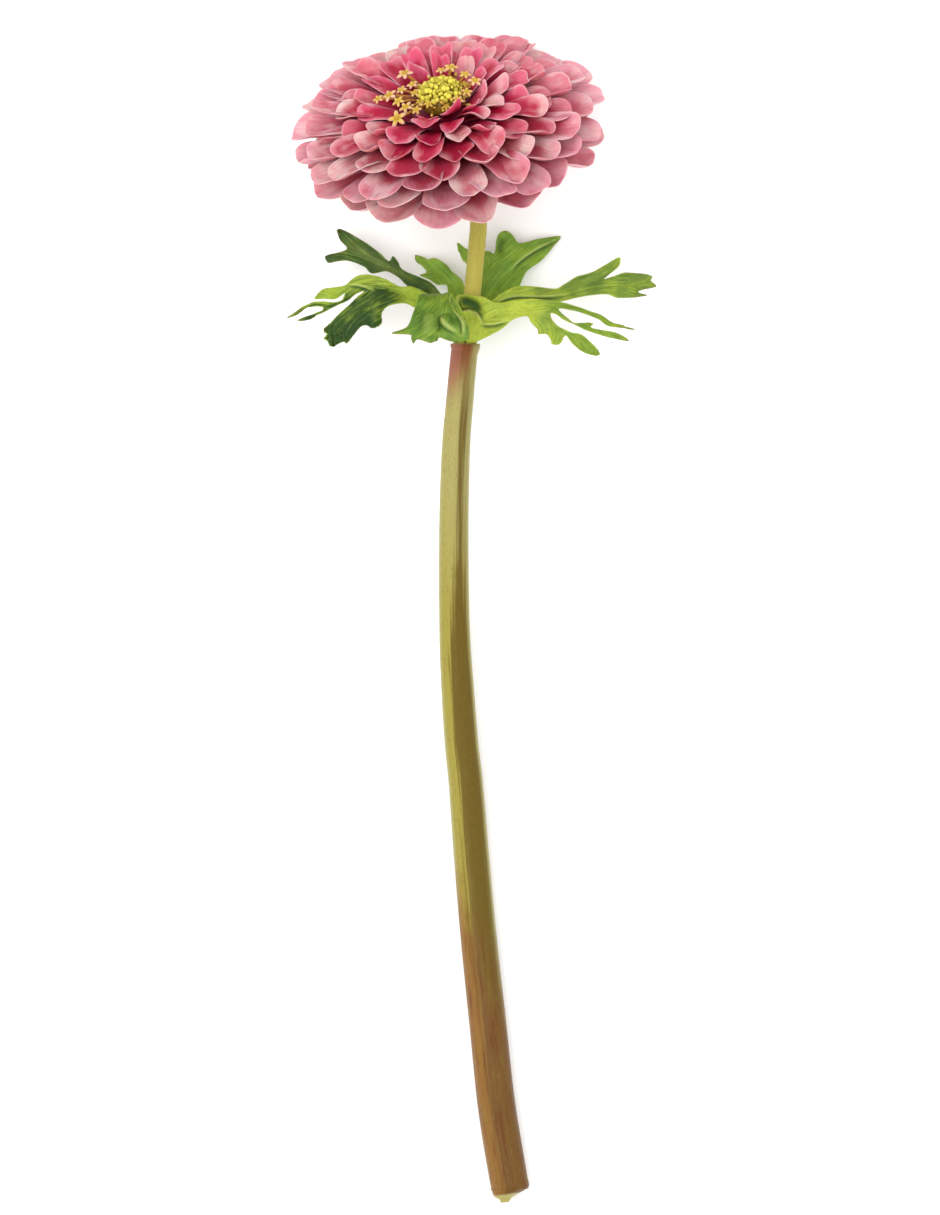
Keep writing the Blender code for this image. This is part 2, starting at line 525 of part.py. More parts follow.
LEAVES = {
    "leaf_upper_left": Leaf(
        rib=[(-4.6, 86.0, -2.2, -51), (-6.0, 91.0, -2.3, -48), (-8.8, 96.8, -2.3, -30),
             (-13.5, 102.6, -2.8, 0), (-21.0, 106.3, -4.3, 5), (-30.0, 111.3, -6.8, 5),
             (-40.3, 119.8, -10.3, 0)],
        outline=[(-5.5, 86.0), (-7.6, 92.0), (-10.6, 97.6), (-15.5, 101.6), (-19.5, 102.9),
                 (-22.5, 105.6), (-26.0, 107.4), (-30.4, 106.8), (-32.6, 108.8), (-37.4, 110.6),
                 (-41.3, 110.5), (-43.8, 110.1), (-44.8, 111.8), (-43.4, 112.7), (-38.1, 114.2),
                 (-40.2, 117.1), (-40.7, 120.6), (-35.8, 118.3), (-31.9, 115.9), (-28.0, 113.0), (-25.2, 110.5),
                 (-23.9, 112.0), (-22.5, 110.4), (-21.0, 107.9), (-15.5, 105.4), (-11.5, 103.2),
                 (-7.2, 97.0), (-5.0, 91.5), (-3.7, 86.0)]),
    "leaf_lower_left": Leaf(
        rib=[(-5.3, 86.0, 0.7, 77), (-7.0, 90.0, 1.3, 65), (-10.5, 95.0, 2.7, 25),
             (-17.0, 99.3, 4.3, 0), (-26.0, 101.8, 5.7, -5), (-33.5, 101.8, 5.0, -8),
             (-38.3, 99.3, 4.1, -7), (-43.0, 97.3, 2.4, -6), (-48.0, 97.3, 0.0, -5),
             (-55.6, 93.7, -3.8, 0)],
        outline=[(-4.4, 85.8), (-6.2, 86.0), (-8.2, 90.2), (-12.6, 94.6), (-17.1, 96.1),
                 (-20.3, 97.4), (-24.2, 97.0), (-26.4, 95.8), (-27.3, 94.0), (-27.4, 91.6),
                 (-28.4, 90.2), (-30.0, 89.7), (-31.2, 90.7), (-32.4, 90.8), (-33.8, 90.0),
                 (-35.2, 88.0), (-37.0, 85.4), (-38.0, 85.9), (-40.2, 84.8), (-41.6, 84.2),
                 (-42.8, 86.0), (-44.2, 86.5), (-43.6, 88.0), (-44.8, 89.2), (-42.6, 91.4),
                 (-38.6, 95.8), (-34.0, 100.0), (-32.8, 101.2), (-35.0, 100.4), (-38.0, 98.2),
                 (-41.0, 96.8), (-46.0, 94.3), (-49.6, 92.5), (-53.0, 92.4), (-50.8, 93.5),
                 (-46.4, 94.9), (-45.3, 96.1), (-47.0, 96.6), (-50.4, 96.1), (-53.0, 94.2),
                 (-56.6, 93.0), (-53.0, 95.6), (-50.2, 97.2), (-48.2, 98.0), (-45.0, 98.0),
                 (-41.3, 97.9), (-39.4, 98.7), (-38.6, 100.4), (-40.2, 99.4), (-41.8, 98.7),
                 (-45.0, 98.8), (-48.0, 98.8), (-47.4, 99.9), (-46.0, 101.2), (-44.0, 102.1),
                 (-41.0, 102.4), (-38.6, 103.0), (-36.8, 104.5), (-34.5, 105.8), (-32.0, 106.2),
                 (-29.0, 105.8), (-26.0, 104.6), (-21.6, 102.6), (-17.9, 102.4), (-11.0, 99.0),
                 (-8.0, 95.4), (-5.6, 90.6)]),
    "leaf_front": Leaf(
        rib=[(-3.4, 86.0, 3.1, 26), (-4.1, 92.0, 5.7, 12), (-6.0, 97.0, 8.3, 4),
             (-7.5, 99.6, 11.7, 0), (-8.5, 98.4, 15.3, 0), (-9.4, 94.5, 17.9, 0),
             (-10.3, 89.8, 19.7, 0), (-10.8, 85.6, 20.7, 0)],
        outline=[(-0.9, 0.0), (-1.9, 6.0), (-4.6, 12.0), (-7.2, 16.4), (-8.0, 21.0),
                 (-8.1, 24.4), (-8.4, 27.2), (-8.8, 29.6), (-9.6, 31.1), (-11.2, 32.1),
                 (-13.6, 33.3), (-8.1, 33.5), (-7.7, 34.6), (-6.8, 36.3), (-5.7, 35.0),
                 (-3.2, 35.6), (-1.6, 36.1), (0.0, 35.4), (0.9, 34.2), (3.1, 34.9),
                 (5.6, 35.5), (9.6, 35.0), (9.8, 32.5), (8.8, 30.2), (7.2, 28.3),
                 (4.6, 26.1), (2.8, 23.6), (1.8, 19.5), (1.6, 15.5), (2.2, 11.0),
                 (1.8, 6.0), (0.9, 0.0)],
        fold=0.05, droop=0.5, unrolled=True),
    "leaf_right_front": Leaf(
        rib=[(-0.4, 86.0, 3.2, -26), (2.0, 90.4, 3.9, 0), (7.5, 94.2, 5.3, 0),
             (16.0, 96.2, 7.1, 0), (27.0, 96.7, 7.7, 0), (36.0, 94.5, 5.4, 0),
             (42.5, 91.3, 3.0, 0), (49.2, 89.9, 0.5, 0)],
        outline=[(0.9, 85.7), (3.0, 86.3), (8.0, 88.9), (10.2, 90.4), (12.0, 92.0),
                 (14.0, 93.0), (17.0, 93.5), (18.2, 91.6), (20.1, 89.4), (20.4, 88.0),
                 (22.8, 88.0), (24.2, 86.2), (24.7, 84.9), (26.8, 84.9), (28.3, 87.5),
                 (29.4, 87.0), (31.2, 84.6), (34.8, 82.2), (38.6, 81.7), (38.0, 83.9),
                 (34.6, 87.2), (32.4, 88.3), (30.6, 88.5), (27.0, 90.1), (25.6, 91.2),
                 (24.4, 92.8), (24.2, 94.4), (26.0, 93.9), (28.0, 92.4), (31.2, 91.0),
                 (35.0, 89.2), (41.0, 87.3), (47.8, 86.0), (44.6, 88.4), (36.6, 90.0),
                 (37.2, 91.1), (35.6, 91.6), (32.0, 91.4), (30.2, 92.1), (26.6, 95.6),
                 (30.5, 95.3), (33.0, 94.7), (36.0, 93.7), (39.0, 92.4), (42.0, 90.5),
                 (49.7, 89.7), (44.8, 91.0), (42.5, 92.0), (39.5, 93.9), (36.0, 95.1),
                 (32.5, 96.3), (27.0, 97.8), (17.0, 98.8), (8.0, 97.6), (3.2, 99.4), (-4.3, 99.8),
                 (-4.8, 97.0), (-4.0, 94.2), (-2.5, 90.2), (-1.5, 86.2)],
        fold=0.05),
    "leaf_right": Leaf(
        rib=[(1.5, 86.0, 0.8, -77), (3.6, 91.5, 1.1, -62), (8.5, 97.0, 1.9, -15),
             (18.0, 100.0, 2.1, 0), (31.0, 101.4, 0.7, 0), (44.0, 103.4, -2.8, 0),
             (55.6, 103.0, -7.3, 0)],
        outline=[(2.4, 85.8), (5.4, 90.6), (10.6, 95.4), (16.3, 97.4), (25.6, 97.8),
                 (30.3, 98.8), (35.8, 99.9), (41.2, 100.3), (45.1, 99.2), (53.6, 100.0),
                 (50.8, 101.2), (56.4, 102.9), (54.9, 104.6), (54.8, 106.2), (47.4, 107.0),
                 (43.5, 105.9), (40.6, 105.0), (42.0, 106.2), (44.7, 108.9), (44.8, 111.6),
                 (40.4, 109.1), (36.5, 107.0), (31.9, 105.6), (28.4, 103.4), (25.6, 102.0),
                 (19.4, 102.6), (13.2, 102.5), (6.6, 98.8), (2.6, 93.4), (0.6, 86.2)]),
    "leaf_back": Leaf(
        rib=[(0.8, 86.0, -2.1, 52), (2.2, 92.5, -4.1, 35), (5.5, 100.0, -7.7, 10),
             (11.5, 107.5, -11.4, 0), (18.5, 113.0, -14.0, 0), (26.8, 117.9, -16.2, 0)],
        outline=[(1.7, 85.8), (5.4, 91.5), (10.6, 97.4), (14.4, 102.4), (15.6, 105.4),
                 (17.1, 107.7), (21.7, 111.2), (24.9, 115.1), (27.2, 118.2), (21.0, 117.6),
                 (17.1, 116.6), (14.4, 116.3), (12.4, 118.8), (10.1, 119.9), (7.8, 118.2),
                 (7.2, 113.2), (4.6, 113.6), (-0.8, 114.0), (-4.3, 116.3), (-3.3, 112.6),
                 (-0.8, 108.6), (0.8, 103.4), (0.4, 97.0), (-0.2, 91.0), (-0.1, 86.0)]),
    "leaf_back_left": Leaf(
        rib=[(-1.9, 86.0, -3.5, 0), (-2.8, 93.5, -4.7, -5), (-5.0, 101.0, -6.9, -8),
             (-9.6, 107.0, -10.7, 0), (-16.6, 112.0, -14.7, 0)],
        outline=[(-2.8, 86.0), (-4.6, 92.0), (-6.8, 98.5), (-7.6, 103.2), (-10.5, 103.4),
                 (-12.9, 105.0), (-15.7, 106.2), (-13.9, 107.3), (-15.0, 109.2), (-17.0, 110.6),
                 (-17.3, 112.5), (-14.7, 112.0), (-13.3, 111.2), (-10.9, 111.4), (-7.8, 109.7),
                 (-5.9, 107.3), (-2.6, 104.2), (-1.9, 98.0), (-1.2, 92.0), (-1.0, 85.8)]),
}
LEAF_GRID = 5.0
EDGE_MARGIN = 0.8
FOLD_WIDTH = 4.0


def nearest_on(spot, a, b):
    """The point nearest to spot on the line from a to b, and its share of the way."""
    share = min(max(intersect_point_line(spot, a, b)[1], 0.0), 1.0)
    return a.lerp(b, share), share


def rib_frames(leaf):
    """Places along the rib: flat place, place in space, sideways and upward directions."""
    rib = [(x, y, COLLAR_HEIGHT + height, roll) for x, y, height, roll in leaf.rib]
    path = smooth_path(rib, 5)
    frames, run = [], 0.0
    for index, place in enumerate(path):
        nearest = path[max(index - 1, 0)], path[min(index + 1, len(path) - 1)]
        along = Vector(nearest[1][:3] - nearest[0][:3]).normalized()
        if index:
            run += float(np.linalg.norm(place[:3] - path[index - 1][:3]))
        if leaf.unrolled:
            side = Vector((1.0, 0.0, 0.0))
            flat = Vector((0.0, run))
        else:
            side = Vector((along.y, -along.x, 0.0)).normalized()
            flat = Vector(place[:2])
        roll = math.radians(float(place[3]))
        up = side.cross(along).normalized()
        side = (side * math.cos(roll) + up * math.sin(roll)).normalized()
        frames.append((flat, Vector(place[:3]), side, side.cross(along).normalized()))
    return frames


def blade_point(leaf, frames, flat):
    """Carries a point of the flat outline to its place on the bent blade."""
    best = None
    for (a, p, side_a, up_a), (b, q, side_b, up_b) in zip(frames, frames[1:]):
        foot, share = nearest_on(flat, a, b)
        off = (flat - foot).length
        if best is None or off < best[0]:
            edge = (b - a).normalized()
            away = flat - foot
            right = away.x * edge.y - away.y * edge.x
            ahead = away.x * edge.x + away.y * edge.y
            best = (off, p.lerp(q, share), side_a.lerp(side_b, share).normalized(),
                    up_a.lerp(up_b, share).normalized(), right, ahead, (q - p).normalized())
    off, place, side, up, right, ahead, along = best
    raised = leaf.fold * min(off, FOLD_WIDTH) - leaf.droop * (right / 10.0) ** 2
    return place + side * right + along * ahead + up * raised


def inside(point, outline):
    crossings = 0
    for a, b in zip(outline, outline[1:] + outline[:1]):
        if (a[1] > point[1]) != (b[1] > point[1]):
            x = a[0] + (point[1] - a[1]) * (b[0] - a[0]) / (b[1] - a[1])
            crossings += x > point[0]
    return crossings % 2 == 1


def clear_of_edge(point, outline, distance):
    spot = Vector(point)
    for a, b in zip(outline, outline[1:] + outline[:1]):
        if (spot - nearest_on(spot, Vector(a), Vector(b))[0]).length < distance:
            return False
    return True


def inner_points(shape, frames):
    """Points of a leaf's inside: along its rib, and on a grid of triangles beside it."""
    points = [tuple(frame[0]) for frame in frames[1:-1:2]]
    xs, ys = zip(*shape.outline)
    row_height = LEAF_GRID * math.sin(math.radians(60))
    for row in range(int((max(ys) - min(ys)) / row_height) + 1):
        for column in range(int((max(xs) - min(xs)) / LEAF_GRID) + 1):
            spot = (min(xs) + LEAF_GRID * (column + 0.5 * (row % 2)),
                    min(ys) + row_height * row)
            near_rib = min((Vector(spot) - frame[0]).length for frame in frames)
            if near_rib > LEAF_GRID * 0.6:
                points.append(spot)
    return [p for p in points if inside(p, shape.outline)
            and clear_of_edge(p, shape.outline, EDGE_MARGIN)]


def leaf(name, shape, collection, finish):
    frames = rib_frames(shape)
    inner = inner_points(shape, frames)
    flat = [Vector(p) for p in shape.outline] + [Vector(p) for p in inner]
    edge_loop = [list(range(len(shape.outline)))]
    verts, _, faces, _, _, _ = delaunay_2d_cdt(flat, [], edge_loop, 1, 1e-4)
    bm = bmesh.new()
    made = [bm.verts.new(blade_point(shape, frames, v) * MM) for v in verts]
    for face in faces:
        bm.faces.new([made[i] for i in face])
    thicken(bm, Vector((0.0, 0.0, 1.0)), LEAF_THICKNESS)
    obj = mesh_object(name, bm, collection)
    obj.data.materials.append(finish)
    return obj


def main():
    clear_scene()
    flower = new_collection("zinnia flower")
    petal_pink = material("petal pink", (0.62, 0.18, 0.24), 0.6)
    floret_yellow = material("floret yellow", (0.72, 0.62, 0.08), 0.6)
    leaf_green = material("leaf green", (0.16, 0.35, 0.05), 0.5)
    stem_olive = material("stem olive", (0.33, 0.33, 0.06), 0.45)
    ray_petals(flower, petal_pink)
    disc_florets(flower, floret_yellow)
    involucre(flower, leaf_green)
    stem(flower, stem_olive)
    for name, shape in LEAVES.items():
        leaf(name, shape, flower, leaf_green)


main()
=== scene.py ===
"""Looks of a cut zinnia flower that lies on a pale floor.

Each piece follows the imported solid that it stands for: the same sizes, rules and seeds
place the petals, florets, scales, stem and leaves, with finer meshes and their colours.
Lengths are in millimetres and angles in degrees, and are scaled to metres in the meshes.
Frame: +X to the right and +Y towards the head as seen from above, +Z up from the floor.
"""
import math
import random
from typing import NamedTuple

import bpy
import numpy as np
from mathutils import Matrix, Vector
from mathutils.geometry import delaunay_2d_cdt


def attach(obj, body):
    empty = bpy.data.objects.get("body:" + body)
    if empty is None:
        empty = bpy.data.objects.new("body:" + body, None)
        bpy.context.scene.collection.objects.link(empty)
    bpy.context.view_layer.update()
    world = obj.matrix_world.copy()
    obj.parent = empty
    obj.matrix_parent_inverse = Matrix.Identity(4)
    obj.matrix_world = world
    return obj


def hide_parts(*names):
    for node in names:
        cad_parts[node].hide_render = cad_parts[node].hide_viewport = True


MM = 0.001
GAP = 0.3
SEED = 7

# Head: centre of the rim of petals, and the way the flower faces
HEAD_CENTRE = np.array((-7.5, 149.5, 32.3))
HEAD_AXIS = np.array(Vector((-0.112, 0.84, 0.53)).normalized())
HEAD_RIGHT = np.array(Vector((HEAD_AXIS[2], 0, -HEAD_AXIS[0])).normalized())
HEAD_FAR = np.cross(HEAD_AXIS, HEAD_RIGHT)
HEAD_LEAN_BELOW, HEAD_LEAN_AT_RIM = -0.169, -0.4
FAR_SIDE_RISE, FAR_CORNERS_REACH = 3.3, 0.07
CORE_TOP, CORE_BOTTOM = 8, -12
CORE_PROFILE = ((0, CORE_TOP), (6.2, CORE_TOP), (10.5, 6), (15.5, 2.5), (17, -2.5),
                (15, -8), (9, CORE_BOTTOM), (0, CORE_BOTTOM))

# Colours, as sRGB
THROAT_RED_AND_SHADE, MAGENTA, ROSE, DUSTY = "#80082C", "#C01240", "#BC344E", "#D26678"
INNER_TIP, MIDDLE_TIP, OUTER_TIP = "#EC6288", "#E6808E", "#F6B4C2"
CREAM, SHEEN_HIGHLIGHT_PINK, RIM_PINK_AND_HIGHLIGHT = "#FEE6DC", "#FCD2D2", "#FCCCD4"
BUD_GREEN, BUD_YELLOW, BUD_SHADE = "#B6AA30", "#EADE54", "#866C1C"
STAR_YELLOW, STAR_GOLD, FLORET_PINK = "#D2B23C", "#AC7420", "#F0BCA4"
STALK_MAROON = "#6A1A24"
LEAF_HOLLOW_SHADE, LEAF_CREST_HIGHLIGHT, LEAF_TIP = "#3A6024", "#DCEA84", "#6B5B2C"
BRACT_DARK, BRACT_LIGHT = "#2E4A24", "#6B8F3A"
STEM_PALE_AND_EDGE_HIGHLIGHT, STEM_PALE_AND_LIT, STEM_OLIVE, STEM_DARK_OLIVE_AND_SHADE = "#D6CE8C", "#C4B652", "#A0923A", "#785F12"
STEM_BROWN, STEM_SHADED_BROWN, STEM_RED = "#AE7C3C", "#885E28", "#7A3A1C"
STEM_MAUVE, STEM_SHADED_MAROON, STEM_CUT = "#C07662", "#985228", "#D8CC78"
PEDUNCLE_GREEN_AND_LIGHT = "#E6DA5C"
FLOOR_WHITE = "#FBFBFA"


def linear(hex_colour):
    """The linear colour of an sRGB colour written as #RRGGBB."""
    channels = [int(hex_colour[i:i + 2], 16) / 255 for i in (1, 3, 5)]
    return (*(c / 12.92 if c <= 0.04045 else ((c + 0.055) / 1.055) ** 2.4
              for c in channels), 1)


def smoothstep(low, high, value):
    """Runs softly from 0 to 1 while the value runs from low to high."""
    t = np.clip((value - low) / (high - low), 0, 1)
    return t * t * (3 - 2 * t)


def unit(vectors):
    return vectors / np.linalg.norm(vectors, axis=-1, keepdims=True)


def new_object(name, data):
    obj = bpy.data.objects.new(name, data)
    bpy.context.scene.collection.objects.link(obj)
    return obj


def rest_on(height, floor, soft):
    """Bends what reaches below the floor so that it comes to lie on it."""
    over = height - floor
    return floor + np.where(over < soft, soft * np.exp((over - soft) / soft), over)


# Materials


class Field:
    """A value or colour of a material that changes from place to place."""

    def __init__(self, shader, socket):
        self.shader, self.socket = shader, socket

    def __add__(self, other):
        return self.shader.math("ADD", self, other)

    def __sub__(self, other):
        return self.shader.math("SUBTRACT", self, other)

    def __mul__(self, other):
        return self.shader.math("MULTIPLY", self, other)

    def between(self, low, high, out_low=0, out_high=1):
        """Runs softly from out_low to out_high while this runs from low to high."""
        return self.shader.node("ShaderNodeMapRange", {
            "Value": self, "From Min": low, "From Max": high, "To Min": out_low,
            "To Max": out_high}, interpolation_type="SMOOTHSTEP")


class Shader:
    """A material of nodes whose colour is painted in layers, one over the other."""

    def __init__(self, name, roughness, subsurface=0, subsurface_scale=1.5, gloss=0.25):
        self.material = bpy.data.materials.new(name)
        self.material.use_nodes = True
        self.tree = self.material.node_tree
        self.inputs = self.tree.nodes["Principled BSDF"].inputs
        self.inputs["Roughness"].default_value = roughness
        self.inputs["Specular IOR Level"].default_value = gloss
        self.inputs["Subsurface Weight"].default_value = subsurface
        self.inputs["Subsurface Scale"].default_value = subsurface_scale * MM
        self.colour = None

    def put(self, socket, value):
        if isinstance(value, Field):
            self.tree.links.new(value.socket, socket)
        elif isinstance(value, str):
            socket.default_value = linear(value)
        else:
            socket.default_value = value

    def node(self, kind, inputs, output=0, **settings):
        made = self.tree.nodes.new(kind)
        for name, value in settings.items():
            setattr(made, name, value)
        for name, value in inputs.items():
            self.put(made.inputs[name], value)
        return Field(self, made.outputs[output])

    def values(self, *names):
        """The named values that the mesh carries at its points."""
        return [self.node("ShaderNodeAttribute", {}, "Fac", attribute_name=name)
                for name in names]

    def math(self, operation, a, b=0):
        return self.node("ShaderNodeMath", {0: a, 1: b}, operation=operation)

    def mix(self, share, a, b, blend="MIX"):
        return self.node("ShaderNodeMix", {0: share, 6: a, 7: b}, 2,
                         data_type="RGBA", blend_type=blend)

    def paint(self, colour, share=None):
        """Lays a colour over those before it, as far as share says at each place."""
        self.colour = colour if share is None else self.mix(share, self.colour, colour)

    def ramp(self, share, stops):
        made = self.node("ShaderNodeValToRGB", {0: share})
        elements = made.socket.node.color_ramp.elements
        while len(elements) < len(stops):
            elements.new(0.5)
        for element, (place, colour) in zip(elements, stops):
            element.position = place
            element.color = linear(colour)
        return made

    def noise(self, scale, detail, place=None):
        """Noise of features 1/scale wide, over the object in metres or over three values."""
        if place:
            place = self.node("ShaderNodeCombineXYZ", dict(enumerate(place)))
        else:
            place = self.node("ShaderNodeTexCoord", {}, "Object")
        return self.node("ShaderNodeTexNoise",
                         {"Scale": scale, "Detail": detail, "Vector": place})

    def bump(self, height, distance, strength):
        self.put(self.inputs["Normal"], self.node("ShaderNodeBump", {
            "Height": height, "Distance": distance * MM, "Strength": strength}))

    def finish(self, shade=1, roughness=None):
        """Ends the material; shade darkens all of its colour."""
        if shade < 1:
            grey = (shade, shade, shade, 1)
            self.colour = self.mix(1, self.colour, grey, "MULTIPLY")
        self.put(self.inputs["Base Color"], self.colour)
        if roughness is not None:
            self.put(self.inputs["Roughness"], roughness)
        return self.material


def petal_material():
    """Dark red in the throat, partly painted shade; magenta or rose on the blade; pink and cream
    at the tip.
    """
    shader = Shader("zinnia petal", 0.5, subsurface=0.35, subsurface_scale=2, gloss=0.18)
    ring, along, across, tint, rim, pale = shader.values(
        "ring", "along", "across", "tint", "rim", "pale")
    cloud = shader.noise(120, 3)
    flame = along + across * across * 0.14 + cloud.between(0.3, 0.7, -0.1, 0.1)
    flame = flame + tint * 0.22 - 0.11
    base = shader.ramp(ring, ((0, MAGENTA), (0.35, MAGENTA), (0.6, ROSE), (1, DUSTY)))
    tip = shader.ramp(ring, ((0, INNER_TIP), (0.2, INNER_TIP), (0.45, MIDDLE_TIP),
                             (0.9, OUTER_TIP)))
    # the dark red towards the base is partly the petals' own colour and partly painted shade where
    # they overlap
    shader.paint(THROAT_RED_AND_SHADE)
    shader.paint(base, flame.between(0.2, 0.6))
    shader.paint(tip, flame.between(ring.between(0.1, 1, 0.82, 0.52), 1.06))
    shader.paint(tip, rim.between(0, 0.9, 0, 0.75) * flame.between(0.45, 0.85))
    folds = shader.noise(1.3, 2, (across * 0.9, along * 2.4, tint * 30))
    # painted sheen: pale pink highlights on the crests of the fold noise that also drives the bump
    sheen_highlight = folds.between(0.48, 0.64, 0, 0.8) * flame.between(0.5, 0.9)
    shader.paint(SHEEN_HIGHLIGHT_PINK, sheen_highlight * ring.between(0.15, 0.75, 0.2, 1))
    # painted shade: the darker base colour in the hollows of the same folds
    shader.paint(base, folds.between(0.46, 0.34, 0, 0.45) * ring.between(0.1, 0.6))
    # cream patches near the tips, and whole pale petals: partly the petals' own colour, partly
    # painted highlight
    patch = shader.noise(150, 2).between(0.35, 0.65, 0.3, 1)
    patch = patch * flame.between(0.66, 0.98) * pale.between(0.1, 0.9, 0, 0.8)
    whole = pale.between(1, 2, 0, 0.8) * flame.between(0.3, 0.75)
    shader.paint(CREAM, shader.math("MAXIMUM", patch, whole))
    veins = shader.noise(1.6, 3, (across * 9, along * 1.4, tint * 40))
    shader.paint(base, veins.between(0.35, 0.7, 0, 0.2))
    # pale rims: partly the thin edges' own paler colour, partly painted edge highlight
    edge = rim.between(RIM_FROM, 1, 0, 0.8)
    shader.paint(RIM_PINK_AND_HIGHLIGHT, edge * cloud.between(0.35, 0.65, 0.1, 0.85))
    shader.bump(veins + folds * 2.5, 0.4, 0.6)
    return shader.finish(0.71)


def floret_material():
    """Yellow-green buds, maroon stalks and yellow stars with pink tips."""
    shader = Shader("disc floret", 0.5, subsurface=0.1, subsurface_scale=0.5)
    stalk, star, along, tint, pale = shader.values("stalk", "star", "along", "tint", "pale")
    shader.paint(BUD_GREEN)
    shader.paint(BUD_YELLOW, tint.between(0.1, 0.9))
    shader.paint(BUD_SHADE, along.between(0.75, 0.3))
    stalk_end = shader.mix(pale, STAR_GOLD, FLORET_PINK)
    shader.paint(shader.mix(along.between(0.15, 0.8), STALK_MAROON, stalk_end), stalk)
    stars = shader.mix(along.between(0.1, 0.5), STAR_GOLD, STAR_YELLOW)
    shader.paint(shader.mix(along.between(0.4, 0.9) * pale, stars, FLORET_PINK), star)
    grain = shader.noise(1400, 2)
    shader.paint(STALK_MAROON, grain.between(0.45, 0.75, 0, 0.3))
    shader.bump(grain, 0.15, 0.5)
    return shader.finish(0.85)


def leaf_material(name, dark, middle, light, light_reach):
    """Fine streaks beside the veins, light parts at the base, edge and rib, and painted highlights
    and shade on the folds.
    """
    shader = Shader(name, 0.42, subsurface=0.15, subsurface_scale=1, gloss=0.15)
    run, edge, vein, rib, sunny = shader.values("run", "edge", "vein", "rib", "sunny")
    lit, hollow_shade, aside, length = shader.values("lit", "hollow_shade", "aside", "length")
    streaks = shader.noise(1, 4, (aside * 2.2, length * 0.16, 0))
    cloud, fine = shader.noise(110, 3), shader.noise(900, 2)
    lightness = (cloud.between(0.3, 0.7, 0.05, 0.42) + streaks.between(0.3, 0.7, 0, 0.35)
                 + run.between(light_reach * 0.4, light_reach + 0.15, 0.5, 0)
                 + sunny * 0.48 + vein * 0.1 + rib * 0.15 + edge.between(0.4, 1, 0, 0.3))
    shader.paint(shader.ramp(lightness, ((0.1, dark), (0.45, middle), (0.95, light))))
    shader.paint(dark, fine.between(0.45, 0.75, 0, 0.2))
    # painted shade in the fold hollows, and a painted highlight along the fold crests
    shader.paint(LEAF_HOLLOW_SHADE, hollow_shade.between(0, 1))
    shader.paint(LEAF_CREST_HIGHLIGHT, lit * 0.75)
    shader.paint(LEAF_TIP, edge.between(0.5, 1, 0, 0.6) * run.between(0.8, 1))
    shader.bump(streaks * 0.8 - shader.math("MAXIMUM", vein, rib) * 0.6, 0.35, 0.6)
    return shader.finish(0.57, fine.between(0.3, 0.7, 0.36, 0.5))


def bract_material():
    """Dark green scales, lighter in streaks and towards their edges."""
    shader = Shader("cup scale", 0.5, subsurface=0.1, subsurface_scale=0.6)
    edge, tint = shader.values("edge", "tint")
    streaks = shader.noise(500, 3)
    share = edge.between(0.5, 1, 0, 0.5) + streaks.between(0.4, 0.7, 0, 0.5)
    shader.paint(BRACT_DARK)
    shader.paint(BRACT_LIGHT, share * tint.between(0, 1, 0.5, 1))
    shader.bump(streaks, 0.25, 0.5)
    return shader.finish(0.75)


